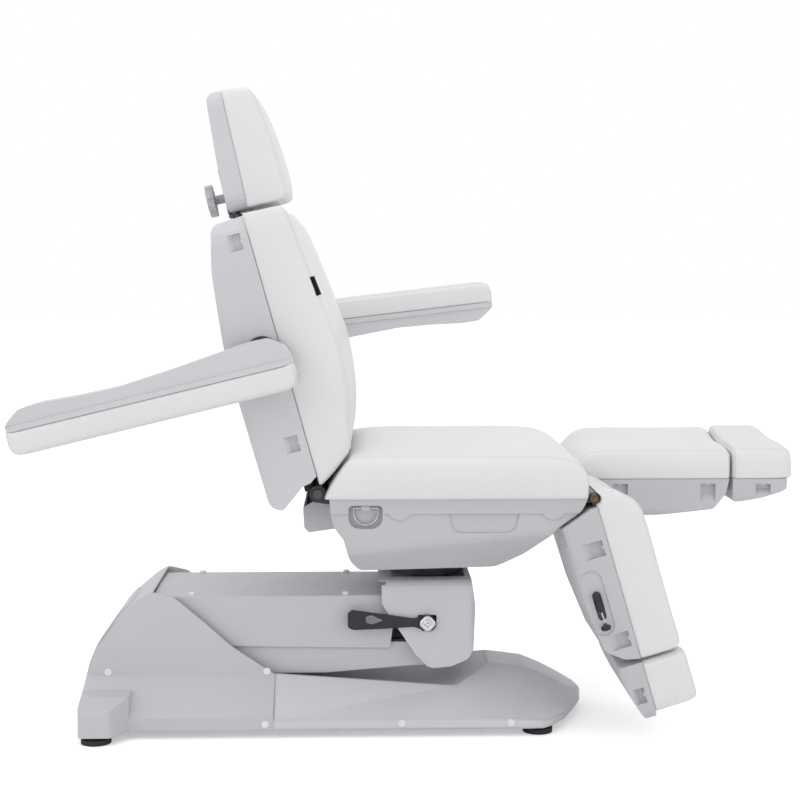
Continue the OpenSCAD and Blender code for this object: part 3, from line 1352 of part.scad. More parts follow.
// Rear cover: side outline in shares of its length and height, from its rear bottom corner
rear_l = base_split + base_rear;
rear_side_shares = [[0, 0, 0], [1, 0, 0], [1, 0.357, 0], [0.976, 0.376, 0], [0.779, 0.575, 0.3],
  [0.633, 0.772, 0.3],
  [0.479, 0.967, 0.05], [0.385, 1, 0.03], [0.36, 0.995, 0.04], [0.313, 0.955, 0.1], [0.198, 0.81, 0.3],
  [0.083, 0.565, 0.2], [0.035, 0.4, 0.2], [0, 0.1, 0.1]];
rear_side = moved(sized(rear_side_shares, rear_l, rear_cover_h), [-base_rear, base_floor]);
upper_half = 155;
ledge_z = 116;
band_z = 44;
plan_r = 40;
function base_end(half, upper, ledge, top) = [[-half, base_floor - reach, 0], [half, base_floor - reach, 0],
  [half, band_z, 0], [upper, ledge, 0], [upper, top, 0], [-upper, top, 0], [-upper, ledge, 0],
  [-half, band_z, 0]];
module rear_form(w) {
  side = w > 0 ? inset(rear_side, w) : rear_side;
  intersection() {
    across(side);
    along(base_end(base_w / 2 - w, upper_half - w, ledge_z - w / 2, base_rear));
    upright(slab(-base_rear + w, base_split + reach, -base_w / 2 + w, base_w / 2 - w, plan_r));
  }
}
outrigger_z = 74;
outrigger_r = 12;
outrigger_flare = 32;
outrigger_rise = 18;
module outrigger_form(w) {
  half = outrigger_w / 2 - w;
  root = base_w / 2 - w;
  low = base_floor - (w > 0 ? over : 0);
  intersection() {
    upright([[outrigger_x[0] + w, -half, outrigger_r], [outrigger_x[1] - w, -half, outrigger_r],
      [outrigger_x[1] + outrigger_flare - w, -root, 0], [outrigger_x[1] + outrigger_flare - w, root, 0],
      [outrigger_x[1] - w, half, outrigger_r], [outrigger_x[0] + w, half, outrigger_r]], 0, reach);
    along([[-half, low, 0], [half, low, 0], [half, outrigger_z - w, outrigger_r / 2],
      [root, outrigger_z + outrigger_rise - w, 0],
      [-root, outrigger_z + outrigger_rise - w, 0], [-half, outrigger_z - w, outrigger_r / 2]]);
  }
}
hood_front = -596;
rear_open_share = 0.322;
module rear_cover() {
  color(white_abs) difference() {
    union() {
      rear_form(0);
      outrigger_form(0);
    }
    for (down = [0, 2 * wall]) translate([0, 0, -down]) rear_form(wall);
    translate([2 * wall, 0, 0]) rear_form(wall);
    outrigger_form(wall);
    // Open above the arm, in front of the hood
    block([hood_front, -upper_half + wall, base_floor + rear_cover_h * rear_open_share], [base_split + over,
      upper_half - wall, reach]);
    inlet_place(gap);
  }
}
hatch_half = 105;
hatch_t = 5;
hatch_z = [78, 262];
module rear_hatch() {
  color(white_abs) difference() {
    intersection() {
      plate(inset(rear_side, -hatch_t), hatch_half);
      block([-base_rear - reach, -hatch_half, hatch_z[0]], [hood_front - plan_r, hatch_half, hatch_z[1]]);
      along(slab(-hatch_half, hatch_half, hatch_z[0], hatch_z[1], plan_r / 2));
    }
    across(rear_side);
  }
}
inlet = [20, 30, 24];
inlet_at = [-base_rear, 60, 30];
inlet_pin_shares = [0.3, 0.5, 0.7];
inlet_pin_r = 2;
module inlet_place(room) {
  block(inlet_at - [over, room, room], inlet_at + inlet + [room, room, room]);
}
module power_inlet() {
  color(black_plastic) difference() {
    block(inlet_at, inlet_at + inlet);
    block(inlet_at + [-over, wall, wall], inlet_at + inlet - [wall, wall, wall]);
  }
  color(chrome) for (s = inlet_pin_shares)
    bar_x(inlet_at[1] + s * inlet[1], inlet_at[2] + inlet[2] / 2, inlet_pin_r, wall - base_rear,
      inlet[0] - wall - base_rear);
}
// Front cover. A station holds its place, then half width and height of the band, the crease and the crest
front_l = base_front - base_split;
front_cover_h = 121;
front_shares = [[0, 1, 0.211, 0.625, 0.954, 0.62, 0.958], [0.564, 1, 0.211, 0.625, 0.679, 0.617, 0.683],
  [0.645, 1, 0.211, 0.625, 0.596, 0.25, 0.985], [0.744, 1, 0.2, 0.625, 0.495, 0.2375, 0.917],
  [0.811, 1, 0.183, 0.625, 0.358, 0.2375, 0.853], [0.843, 0.992, 0.165, 0.625, 0.294, 0.2375, 0.77],
  [0.869, 0.925, 0.147, 0.62, 0.257, 0.2375, 0.697], [0.916, 0.717, 0.128, 0.583, 0.193, 0.2375, 0.541],
  [0.955, 0.4375, 0.138, 0.354, 0.229, 0.208, 0.404], [0.984, 0.208, 0.211, 0.167, 0.266, 0.125, 0.321],
  [1, 0.06, 0.193, 0.045, 0.229, 0.03, 0.248]];
well_half = 144;
tray_floor = 72;
// Where the floor of the well starts to rise, and where it meets the crest
well_front = [24, 156];
function well(w) = [[base_split - plan_r, tray_floor - w, 0], [well_front[0], tray_floor - w, 0],
  [well_front[1] + w, front_cover_h, 0], [well_front[1] + w, reach, 0], [base_split - plan_r, reach, 0]];
function front_ring(s, w) =
  let (h = front_cover_h - base_floor, half = base_w / 2,
    x = base_split + s[0] * (front_l - w) - (w > 0 && s[0] == 0 ? over : 0),
    right = [[s[1] * half - w, w > 0 ? -over : 0], [s[1] * half - w, s[2] * h - w / 2],
      [s[3] * half - w / 2, s[4] * h - w], [s[5] * half - w / 2, s[6] * h - w]])
  [for (q = right) [x, q[0], base_floor + q[1]], for (i = [3:-1:0]) [x, -right[i][0],
  base_floor + right[i][1]]];
module front_form(w) {
  skin([for (s = front_shares) front_ring(s, w)]);
}
module front_cover() {
  color(white_abs) difference() {
    front_form(0);
    difference() {
      front_form(wall);
      plate(well(wall), well_half + wall);
    }
    plate(well(0), well_half);
  }
}
module foot_cross_bar(x, half) {
  block([x - foot_bar[0], -half, foot_bar[1]], [x + foot_bar[0], half, foot_bar[2]]);
}
module base_frame() {
  motor_x = lift_x + motor_base[0];
  motor_z = lift_z + motor_base[1];
  color(dark_steel) {
    difference() {
      union() {
        both_sides() {
          block([rear_foot[0], rail_half - frame_h, frame_z], [front_foot[0], rail_half, frame_z + frame_h]);
          block([lift_x - bracket_x_half, bracket_y[0], frame_z], [lift_x + bracket_x_half, bracket_y[1],
            link_z]);
          across(moved([[-bracket_x_half, 0, 0], [bracket_x_half, 0, 0], [bush_r, lift_z - link_z, 0],
            [-bush_r, lift_z - link_z, 0]], [lift_x, link_z]), bracket_y[0], bracket_y[1]);
          bar_y(lift_x, lift_z, bush_r, bracket_y[0], bracket_y[1]);
          difference() {
            union() {
              bar_y(motor_x, motor_z, motor_eye_r, eye_half + gap, eye_half + gap + plate_t);
              block([motor_x - motor_eye_r, eye_half + gap, frame_z],
                [motor_x + motor_eye_r, eye_half + gap + plate_t, motor_z]);
            }
            bar_y(motor_x, motor_z, motor_pin_r + run_gap, 0, reach);
          }
        }
        foot_cross_bar(rear_foot[0], outrigger_w / 2 - wall - gap);
        foot_cross_bar(front_foot[0], front_foot[1] + foot_bar[0]);
        block([motor_x - frame_h, -rail_half, frame_z], [motor_x + frame_h, rail_half, frame_z + plate_t]);
        block([lift_x - frame_h / 2, -rail_half, frame_z], [lift_x + frame_h / 2, rail_half,
          frame_z + frame_h]);
      }
      for (z = [lift_z, link_z]) bar_y(lift_x, z, lift_pin_r + run_gap);
    }
  }
  color(chrome) {
    for (z = [lift_z, link_z]) shaft(lift_x, z, lift_pin_r, bracket_y[1] + pin_head_t);
    shaft(motor_x, motor_z, motor_pin_r, eye_half + 2 * plate_t);
  }
}
// Bars that carry the feet: half width, underside and top
foot_bar = [14, 20, 32];
foot_stem_r = 6;
foot_rubber_t = 11;
module levelling_feet() {
  color(black_rubber) for (f = [rear_foot, front_foot]) both_sides() {
    bar_z(f[0], f[1], foot_d / 2, 0, foot_rubber_t);
    bar_z(f[0], f[1], foot_stem_r, foot_rubber_t, foot_bar[1]);
  }
}
cap_r = 8;
cap_t = 2;
ledge_screw_x = [-693, -349];
band_screw_x = [-349, -58, 176];
module base_screws() {
  color(white_abs) both_sides() {
    for (x = ledge_screw_x) bar_y(x, ledge_z + cap_r, cap_r, upper_half, upper_half + cap_t);
    for (x = band_screw_x) bar_y(x, (base_floor + band_z) / 2, cap_r, base_w / 2, base_w / 2 + cap_t);
  }
}

base_frame();
rear_cover();
front_cover();
rear_hatch();
levelling_feet();
base_screws();
power_inlet();
lift_motor();
lift_rod();
lift_arm();
arm_top_cover();
arm_screws();
lift_link();
arm_bottom_cover();
column_head();
column_cover();
turntable_bearing();
lock_lever();
lock_hub();
turntable_plate();
tilt_motor();
tilt_rod();
seat_frame();
seat_shell();
seat_cushion();
hinge_motor_cover();
recline_pins();
recline_motor();
mirror([0, 1, 0]) strap_ring();  // strap_ring_right
strap_ring();  // strap_ring_left
back_frame();
back_shell();
back_cushion();
back_screws();
armrest_pivot(-1);  // armrest_pivot_right
armrest_shell(-1);  // armrest_shell_right
armrest_pad(-1);  // armrest_pad_right
armrest_pivot(1);  // armrest_pivot_left
armrest_shell(1);  // armrest_shell_left
armrest_pad(1);  // armrest_pad_left
head_hinge();
head_shell();
head_cushion();
head_knob();
leg_frame(-1);  // leg_frame_right
leg_shell(-1);  // leg_shell_right
leg_cushion(-1);  // leg_cushion_right
leg_lever(-1);  // leg_lever_right
foot_rods(-1);  // foot_rods_right
foot_shell(-1);  // foot_shell_right
foot_cushion(-1);  // foot_cushion_right
leg_frame(1);  // leg_frame_left
leg_shell(1);  // leg_shell_left
leg_cushion(1);  // leg_cushion_left
leg_lever(1);  // leg_lever_left
foot_rods(1);  // foot_rods_left
foot_shell(1);  // foot_shell_left
foot_cushion(1);  // foot_cushion_left
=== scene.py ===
"""Podiatry chair: soft goods, finishes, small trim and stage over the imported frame."""
from math import cos, hypot, pi, radians, sin, sqrt, tanh

import bmesh
import bpy
from mathutils import Matrix, Vector
from mathutils.bvhtree import BVHTree


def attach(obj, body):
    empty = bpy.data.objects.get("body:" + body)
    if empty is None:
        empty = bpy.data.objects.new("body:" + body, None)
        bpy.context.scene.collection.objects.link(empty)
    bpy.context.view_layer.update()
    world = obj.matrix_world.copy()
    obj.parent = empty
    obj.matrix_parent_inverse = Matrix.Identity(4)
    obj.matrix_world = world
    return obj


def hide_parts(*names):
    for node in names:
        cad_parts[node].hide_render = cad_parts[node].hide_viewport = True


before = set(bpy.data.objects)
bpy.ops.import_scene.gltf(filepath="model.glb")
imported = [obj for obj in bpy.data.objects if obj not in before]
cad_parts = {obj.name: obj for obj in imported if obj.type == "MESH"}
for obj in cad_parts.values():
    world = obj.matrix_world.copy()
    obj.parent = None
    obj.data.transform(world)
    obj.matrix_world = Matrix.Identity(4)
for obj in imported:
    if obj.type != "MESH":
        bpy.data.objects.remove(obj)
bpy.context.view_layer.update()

bl_info = {
    "name": "Podiatry chair",
    "version": (1, 0, 0),
    "blender": (4, 5, 0),
    "location": "3D View > Sidebar > Chair",
    "description": "Dresses the packed podiatry chair with cushions, finishes, trim and a stage",
    "category": "Object",
}

MM = 0.001


# Colours and nodes

def linear(code):
    """sRGB hex turned into the linear RGBA that Blender works in."""
    channels = [int(code[i:i + 2], 16) / 255 for i in (1, 3, 5)]
    return [c / 12.92 if c <= 0.04045 else ((c + 0.055) / 1.055) ** 2.4 for c in channels] + [1.0]


def shaded(colour, share):
    """A colour made darker or lighter by a share."""
    return [min(1.0, c * share) for c in colour[:3]] + [1.0]


def add(tree, kind, inputs=None, stops=(), **values):
    """A node with its settings, its inputs by name or number and, on a colour ramp, its stops. An input
    that is given the output of another node is linked to it."""
    node = tree.nodes.new(kind)
    for key in [k for k in values if k in node.bl_rna.properties]:
        setattr(node, key, values.pop(key))
    for key, value in {**values, **(inputs or {})}.items():
        socket = node.inputs[key] if isinstance(key, int) else next(
            s for s in node.inputs if s.name.replace(" ", "_") == key and s.enabled)
        if isinstance(value, bpy.types.NodeSocket):
            tree.links.new(value, socket)
        else:
            socket.default_value = value
    for k, (place, colour) in enumerate(stops):
        node.color_ramp.elements[k].position = place
        node.color_ramp.elements[k].color = colour
    return node


class Skin:
    """A procedural material in the making, in the object's coordinates. Sizes are in millimetres."""

    def __init__(self, name):
        self.material = bpy.data.materials.new(name)
        self.material.use_nodes = True
        self.tree = self.material.node_tree
        self.tree.nodes.clear()
        self.place = self.add("TexCoord").outputs["Object"]

    def add(self, kind, inputs=None, stops=(), **values):
        """A node of the material's tree."""
        return add(self.tree, "ShaderNode" + kind, inputs, stops, **values)

    def tint(self, size, colour, shares, detail=3.0, low=0.3, high=0.7):
        """A colour that drifts between two shares of itself in blotches about size across."""
        noise = self.add("TexNoise", Vector=self.place, Scale=1000 / size, Detail=detail, Roughness=0.5)
        stops = [(low, shaded(colour, shares[0])), (high, shaded(colour, shares[1]))]
        return self.add("ValToRGB", stops=stops, Fac=noise.outputs["Fac"]).outputs["Color"]

    def gloss(self, size, rough, detail=3.0, high=0.7):
        """Roughness that drifts between two values in the same way."""
        return self.tint(size, (1, 1, 1), rough, detail, 0.3, high)

    def grain(self, size, depth, detail=2.0, edge=0, **under):
        """A fine relief of a real depth, over edges that are rounded by a radius or over another relief."""
        if edge:
            under["Normal"] = self.add("Bevel", samples=4, Radius=edge * MM).outputs["Normal"]
        noise = self.add("TexNoise", Vector=self.place, Scale=1000 / size, Detail=detail, Roughness=0.5)
        return self.add("Bump", Height=noise.outputs["Fac"], Strength=1.0, Distance=depth * MM,
                        **under).outputs["Normal"]

    def finish(self, **values):
        """The material with its surface wired to its output."""
        shader = self.add("BsdfPrincipled", **values)
        self.add("OutputMaterial", Surface=shader.outputs["BSDF"])
        return self.material


def vinyl(name, colour):
    """Coated upholstery vinyl. To the eye: a fine pebble grain, faint soft waves where the foam gives,
    a low satin sheen that breaks up a little, and clean colour with hardly any drift."""
    skin = Skin(name)
    pebbles = skin.add("TexVoronoi", Vector=skin.place, feature="SMOOTH_F1", Scale=1000 / 1.1, Smoothness=0.6)
    relief = skin.add("Bump", Height=pebbles.outputs["Distance"], Strength=1.0, Distance=0.08 * MM,
                      Normal=skin.grain(60, 1.2))
    return skin.finish(
        Base_Color=skin.tint(160, colour, (0.985, 1.01)),
        Roughness=skin.gloss(45, (0.40, 0.48)),
        Normal=relief.outputs["Normal"],
        Coat_Weight=0.12,
        Coat_Roughness=0.35)


def moulded(name, colour, texture=0.7, rough=(0.42, 0.52), edge=1.6):
    """Vacuum-formed ABS. To the eye: an even pale colour with a trace of drift, a fine spark-eroded
    texture, slow waves of a formed sheet and a small round on each edge."""
    skin = Skin(name)
    waves = skin.grain(120, 0.35, 1.0, edge)
    return skin.finish(
        Base_Color=skin.tint(220, colour, (0.98, 1.015)),
        Roughness=skin.gloss(30, rough),
        Normal=skin.grain(texture, 0.035, Normal=waves))


def coated(name, colour, peel=2.0):
    """Powder-coated steel. To the eye: an orange-peel skin, faint dust in it and softened edges."""
    skin = Skin(name)
    return skin.finish(
        Base_Color=skin.tint(25, colour, (0.9, 1.06), 6.0, 0.35),
        Roughness=skin.gloss(12, (0.38, 0.5)),
        Normal=skin.grain(peel, 0.06, edge=0.8))


def metal(name, colour, rough=(0.16, 0.3)):
    """Plated or bright steel. To the eye: a sharp reflection broken by fine turning marks and handling."""
    skin = Skin(name)
    tint = skin.tint(18, colour, (0.9, 1.0), 4.0)
    skin.place = skin.add("Mapping", Vector=skin.place, Scale=(1, 14, 1)).outputs["Vector"]
    return skin.finish(
        Base_Color=tint,
        Roughness=skin.gloss(6, rough, 5.0, 0.75),
        Metallic=1.0,
        Normal=skin.grain(0.8, 0.01, edge=0.5))


def plastic(name, colour, rough=(0.36, 0.5), texture=0.8):
    """Moulded nylon. To the eye: a fine matt texture, edges that catch the light and a trace of wear."""
    skin = Skin(name)
    return skin.finish(
        Base_Color=skin.tint(9, colour, (1.0, 1.35), 6.0, 0.4, 0.75),
        Roughness=skin.gloss(7, rough),
        Normal=skin.grain(texture, 0.05, 3.0, 0.8))


def rubber(name, colour):
    """Foot rubber. To the eye: matt black, a little dusty, with soft edges."""
    skin = Skin(name)
    return skin.finish(
        Base_Color=skin.tint(14, colour, (1.0, 1.7), 7.0, 0.4, 0.8),
        Roughness=0.78,
        Normal=skin.grain(1.5, 0.1, 5.0, 1.0))


def thread(name, colour):
    """Polyester thread. To the eye: a soft twist of fine fibres with a low silky sheen."""
    skin = Skin(name)
    return skin.finish(
        Base_Color=skin.tint(3, colour, (0.92, 1.0)),
        Roughness=0.55,
        Sheen_Weight=0.15,
        Normal=skin.grain(0.35, 0.06))


def woven(name, colour):
    """Woven tape. To the eye: crossing ribs, matt and dark, with a few paler fibres. The ribs of such tape
    are too fine to show, so they are drawn 3.77 mm apart."""
    skin = Skin(name)
    # A wave texture has a rib every pi / 10 of its own unit
    ribs = [skin.add("TexWave", Vector=skin.place, wave_type="BANDS", bands_direction=way,
                     Scale=1000 * pi / 10 / 3.77, Distortion=0.3).outputs["Fac"] for way in ("Y", "Z")]
    weave = skin.add("Math", {0: ribs[0], 1: ribs[1]}, operation="MULTIPLY").outputs[0]
    tint = skin.add("ValToRGB", stops=[(0.1, shaded(colour, 0.8)), (0.9, shaded(colour, 1.5))], Fac=weave)
    relief = skin.add("Bump", Height=weave, Strength=1.0, Distance=0.12 * MM)
    return skin.finish(
        Base_Color=tint.outputs["Color"],
        Roughness=0.85,
        Specular_IOR_Level=0.15,
        Normal=relief.outputs["Normal"])


# Settings

def colour_setting(name, description, code):
    """A colour for the panel from its sRGB hex code."""
    return bpy.props.FloatVectorProperty(name=name, description=description, subtype="COLOR", size=4,
                                         min=0, max=1, default=linear(code))


def length_setting(name, description, millimetres):
    """A length for the panel."""
    return bpy.props.FloatProperty(name=name, description=description, subtype="DISTANCE",
                                   unit="LENGTH", min=0, default=millimetres * MM)


class ChairSettings(bpy.types.PropertyGroup):
    vinyl_colour: colour_setting("Upholstery", "Vinyl of every cushion", "#ebeaeb")
    shell_colour: colour_setting("Shells", "Shells behind the cushions", "#d5d5d9")
    cover_colour: colour_setting("Lift covers", "Covers of base, lift and column", "#cfced3")
    steel_colour: colour_setting("Frame", "Coated steel frames", "#77797e")
    bracket_colour: colour_setting("Brackets", "Dark steel brackets and turntable", "#35363a")
    motor_colour: colour_setting("Motors", "Motor housings", "#5b5e63")
    bright_colour: colour_setting("Bright steel", "Plated and ground steel", "#c9cace")
    black_colour: colour_setting("Black parts", "Levers, knobs and bosses", "#232427")
    rubber_colour: colour_setting("Feet", "Rubber of the feet", "#29282c")
    knob_colour: colour_setting("Head knob", "Knob of the headrest", "#bebdc2")
    bush_colour: colour_setting("Knee bushes", "Bronze bushes at the knees", "#7d6646")
    tag_colour: colour_setting("Tag", "Woven tag on the back cushion", "#09090c")
    thread_colour: colour_setting("Thread", "Thread of the seams", "#dededf")
    floor_colour: colour_setting("Floor", "Studio floor", "#ffffff")
    swell: length_setting("Swell", "How far the foam may push the cover out", 9)
    seam_depth: length_setting("Seam depth", "How far a sewn seam is drawn in", 2.2)
    stitch_pitch: length_setting("Stitch pitch", "Distance from one stitch to the next", 4.2)
    stitch_length: length_setting("Stitch length", "Length of one stitch", 3.0)
    thread_radius: length_setting("Thread radius", "Half the thickness of the seam thread", 0.4)
    stitch_offset: length_setting("Stitch offset", "Distance of the stitches from their seam", 4.5)
    pressure: bpy.props.FloatProperty(name="Foam pressure", description="Pressure of the foam in the cover",
                                      min=0, default=4.0)


# Mesh tools

def in_scene(name, data):
    """A new object for some data, linked to the scene."""
    piece = bpy.data.objects.new(name, data)
    bpy.context.scene.collection.objects.link(piece)
    return piece


def mesh_object(name, points, faces):
    """A mesh piece from points in millimetres, in the object's frame, with its faces turned outwards."""
    data = bpy.data.meshes.new(name)
    data.from_pydata([Vector(p) * MM for p in points], [], faces)
    piece = in_scene(name, data)
    body = bmesh.new()
    body.from_mesh(data)
    bmesh.ops.recalc_face_normals(body, faces=body.faces)
    body.to_mesh(data)
    body.free()
    data.shade_smooth()
    return piece


def marked_points(name, points, edges, label, vectors):
    """A piece of loose points, in metres, each with a vector under the label."""
    data = bpy.data.meshes.new(name)
    data.from_pydata(points, edges, [])
    mark = data.attributes.new(label, "FLOAT_VECTOR", "POINT")
    for k, vector in enumerate(vectors):
        mark.data[k].vector = vector
    return in_scene(name, data)


def joined(first, second, count):
    """Faces between two rings of points that start at the vertex numbers first and second."""
    return [(first + k, first + (k + 1) % count, second + (k + 1) % count, second + k)
            for k in range(count)]


def surface_tree(data, unit=1):
    """The faces of a mesh for nearest-point searches, in the unit."""
    return BVHTree.FromPolygons([v.co / unit for v in data.vertices],
                                [p.vertices[:] for p in data.polygons])


def dress(piece, material, body):
    """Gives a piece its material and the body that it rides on."""
    piece.data.materials.clear()
    piece.data.materials.append(material)
    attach(piece, body)


def applied(piece):
    """Works the piece's modifiers into its mesh and removes them."""
    graph = bpy.context.evaluated_depsgraph_get()
    data = bpy.data.meshes.new_from_object(piece.evaluated_get(graph), depsgraph=graph)
    piece.modifiers.clear()
    old = piece.data
    data.name = piece.name
    piece.data = data
    bpy.data.meshes.remove(old)


def curve_through(knots, t):
    """Point of a smooth curve through the knots at t, counted in knots."""
    i = min(int(t), len(knots) - 2)
    f = t - i
    b, c = knots[i], knots[i + 1]
    a = knots[i - 1] if i > 0 else b + (b - c)
    d = knots[i + 2] if i + 2 < len(knots) else c + (c - b)
    return 0.5 * ((2 * b) + (c - a) * f + (2 * a - 5 * b + 4 * c - d) * f * f
                  + (3 * b - a - 3 * c + d) * f ** 3)


def even(knots, count, fine=12):
    """Knot counts t at which a curve through the knots is split into even lengths."""
    steps = [i / fine for i in range((len(knots) - 1) * fine + 1)]
    spots = [curve_through(knots, t) for t in steps]
    run = [0.0]
    for a, b in zip(spots, spots[1:]):
        run.append(run[-1] + (b - a).length)
    found, i = [], 0
    for k in range(count + 1):
        goal = run[-1] * k / count
        while i < len(run) - 2 and run[i + 1] < goal:
            i += 1
        span = run[i + 1] - run[i]
        found.append(steps[i] + (steps[i + 1] - steps[i]) * ((goal - run[i]) / span if span else 0))
    return found


def split(knots, count):
    """Evenly spaced points on a smooth curve through the knots."""
    return [curve_through(knots, t) for t in even(knots, count)]


# Frames of the parts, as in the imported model, in millimetres

def about_y(x, z, degrees):
    """Frame at X and Z, turned about Y as the model's own frames are."""
    return Matrix.Translation((x, 0, z)) @ Matrix.Rotation(radians(-degrees), 4, "Y")


SEAT_FRAME = Matrix.Translation((-220, 0, 519))
BACK_FRAME = about_y(-235, 524, 15.5)
HEAD_FRAME = about_y(-413.27, 1110.7, 12.6)
FLAT = Matrix.Rotation(radians(90), 4, "Y")
MIRROR = Matrix.Scale(-1, 4, (0, 1, 0))
SIDES = (("right", -1), ("left", 1))


# X, Z and turns of an armrest on its pivot, forward and swung back, and of a leg, level and hanging
ARM_PIVOT, ARM_FORWARD, ARM_BACK = (-346, 823.1), 6.7, 193.6
KNEE, LEG_LEVEL, LEG_HANGING = (343.5, 519), 0, -73.6


def arm_frame(side):
    """Frame of an armrest: the left one (1) forward, the right one (-1) swung back and mirrored."""
    if side > 0:
        return about_y(*ARM_PIVOT, ARM_FORWARD)
    return about_y(*ARM_PIVOT, ARM_BACK) @ MIRROR


def leg_frame(side):
    """Frame of a legrest: the left one (1) level, the right one (-1) hanging and mirrored."""
    if side > 0:
        return about_y(*KNEE, LEG_LEVEL)
    return about_y(*KNEE, LEG_HANGING) @ MIRROR


# Cushions

# Stations along a cushion, in shares: place, edge height, crown, half width and, where they aren't 0,
# the end panel's lean and how far the corner is drawn back
SEAT_STATIONS = [(0, 0.9, 0, 0.955, 0.69), (0.004, 0.98, 0.1, 0.98, 0.69), (0.03, 1, 0.5, 0.995, 0.57),
                 (0.12, 1, 0.85, 1, 0.28), (0.3, 1, 1, 1, 0.05), (0.5, 1, 1, 1), (0.7, 1, 1, 1),
                 (0.86, 0.985, 0.9, 1), (0.92, 0.93, 0.7, 1), (0.96, 0.84, 0.5, 0.998),
                 (0.985, 0.71, 0.25, 0.99), (1, 0.5, 0, 0.968)]
BACK_STATIONS = [(0, 0.12, 0, 0.95), (0.003, 0.5, 0, 0.97), (0.01, 0.7, 0.1, 0.985),
                 (0.065, 0.765, 0.7, 1), (0.165, 0.816, 0.9, 1), (0.261, 0.867, 1, 1),
                 (0.357, 0.918, 1, 1), (0.454, 0.969, 1, 1), (0.511, 1, 1.05, 1), (0.604, 0.986, 1.1, 1),
                 (0.694, 0.935, 1.2, 1), (0.767, 0.845, 1.35, 1), (0.81, 0.8, 1.3, 1, -0.03),
                 (0.863, 0.765, 0.9, 1, -0.14), (0.905, 0.75, 0.5, 0.997, -0.33),
                 (0.95, 0.74, 0.25, 0.99, -0.56), (0.982, 0.72, 0.05, 0.98, -0.7),
                 (1, 0.68, 0, 0.965, -0.77)]
HEAD_STATIONS = [(0, 0.22, 0, 0.92), (0.012, 0.5, 0, 0.96), (0.035, 0.65, 0.2, 0.985),
                 (0.14, 0.73, 0.7, 1), (0.3, 0.815, 1, 1), (0.48, 0.885, 1, 1), (0.68, 0.935, 1, 1),
                 (0.84, 0.97, 0.9, 1), (0.94, 0.98, 0.5, 0.99), (0.985, 0.95, 0.1, 0.98),
                 (1, 0.75, 0, 0.96)]
ARM_STATIONS = [(0, 0.6, 0, 0.8), (0.006, 0.85, 0.2, 0.9), (0.02, 0.95, 0.6, 0.97), (0.05, 1, 1, 1),
                (0.2, 1, 1, 1), (0.5, 1, 1, 1), (0.8, 1, 1, 1), (0.95, 1, 1, 1), (0.98, 0.95, 0.6, 0.97),
                (0.994, 0.85, 0.2, 0.9), (1, 0.6, 0, 0.8)]
LEG_STATIONS = [(0, 0.4, 0, 0.955, 0.12), (0.006, 0.5, 0, 0.985, 0.12), (0.035, 0.63, 0.2, 1, 0.08),
                (0.07, 0.75, 0.5, 1, 0.03), (0.105, 0.845, 0.8, 1), (0.15, 0.915, 1, 1),
                (0.21, 0.95, 1, 1), (0.35, 0.96, 1, 1), (0.55, 0.96, 1, 1), (0.8, 0.96, 1, 1),
                (0.95, 0.96, 1, 1), (0.985, 0.94, 0.5, 0.99), (1, 0.87, 0.1, 0.97)]
FOOT_STATIONS = [(0, 0.9, 0.1, 0.97), (0.02, 0.98, 0.5, 0.99), (0.08, 1, 1, 1), (0.3, 1, 1, 1),
                 (0.55, 1, 1, 1, 0, 0.01), (0.75, 1, 1, 0.99, 0, 0.05), (0.86, 0.98, 0.8, 0.96, 0, 0.1),
                 (0.94, 0.93, 0.5, 0.9, 0, 0.14), (0.985, 0.85, 0.2, 0.83, 0, 0.16),
                 (1, 0.6, 0, 0.8, 0, 0.165)]

# Half sections: half width, edge height and crown, from the base corner to the sewn edge and on to the crown
PLAIN_WALL = [(0.98, 0, 0), (0.995, 0.08, 0), (1, 0.42, 0), (0.99, 0.76, 0), (0.965, 0.93, 0),
              (0.945, 0.985, 0)]
PLAIN_TOP = [(0.945, 0.985, 0), (0.9, 1, 0.14), (0.82, 1, 0.36), (0.6, 1, 0.72), (0.3, 1, 0.94), (0, 1, 1)]
ROLL_OUTER = [(0.98, 0, 0), (0.995, 0.07, 0), (1, 0.38, 0), (0.995, 0.74, 0), (0.97, 0.9, 0),
              (0.93, 0.965, 0)]
ROLL_INNER = [(-0.98, 0, 0), (-0.995, 0.07, 0), (-1, 0.3, 0), (-0.99, 0.5, 0), (-0.965, 0.64, 0),
              (-0.945, 0.68, 0)]
ROLL_TOP = [(-0.945, 0.68, 0), (-0.88, 0.71, 0.2), (-0.65, 0.75, 0.6), (-0.35, 0.77, 0.9), (-0.08, 0.775, 1),
            (0.04, 0.785, 1), (0.3, 0.84, 0.9), (0.55, 0.93, 0.6), (0.74, 0.985, 0.3), (0.86, 0.99, 0.1),
            (0.93, 0.965, 0)]

# Height, in millimetres, over which a leaning end panel rises from its foot before it leans
FOOT_ROUND = 14
# Size of a face of the cushions' nets, in millimetres
NET = 9.0
# Radius, in millimetres, of the hollow that a leg pad leaves for its knee bush
KNEE_HOLLOW = 13
# Frames of the foam's simulation, and what it takes the cover to be
FOAM_FRAMES = 20
COVER = dict(use_pressure=True, quality=5, mass=0.3, tension_stiffness=12, compression_stiffness=12,
             bending_stiffness=0.8)


def mirrored(side):
    """The half section of the other side."""
    return [(-p[0], p[1], p[2]) for p in side]


def station_ring(station, size, sides, across, up):
    """Points of one ring: the base, outer wall, top and inner wall, each split evenly."""
    length, height, crown, half = size
    place, edge, bulge, wide, slope, drawn = (*station, 0, 0)[:6]

    def at(q):
        z = q[1] * edge * height + q[2] * bulge * crown
        back = drawn * q[0] * length if q[0] > 0 else 0
        lean = slope * z * z / (z + FOOT_ROUND)
        return Vector((place * length + lean - back, q[0] * wide * half, z))

    outer, top, inner = ([at(q) for q in side] for side in sides)
    base = split([inner[0], outer[0]], across)
    return base[:-1] + split(outer, up)[:-1] + split(top, across)[::-1][:-1] + split(inner, up)[::-1][:-1]


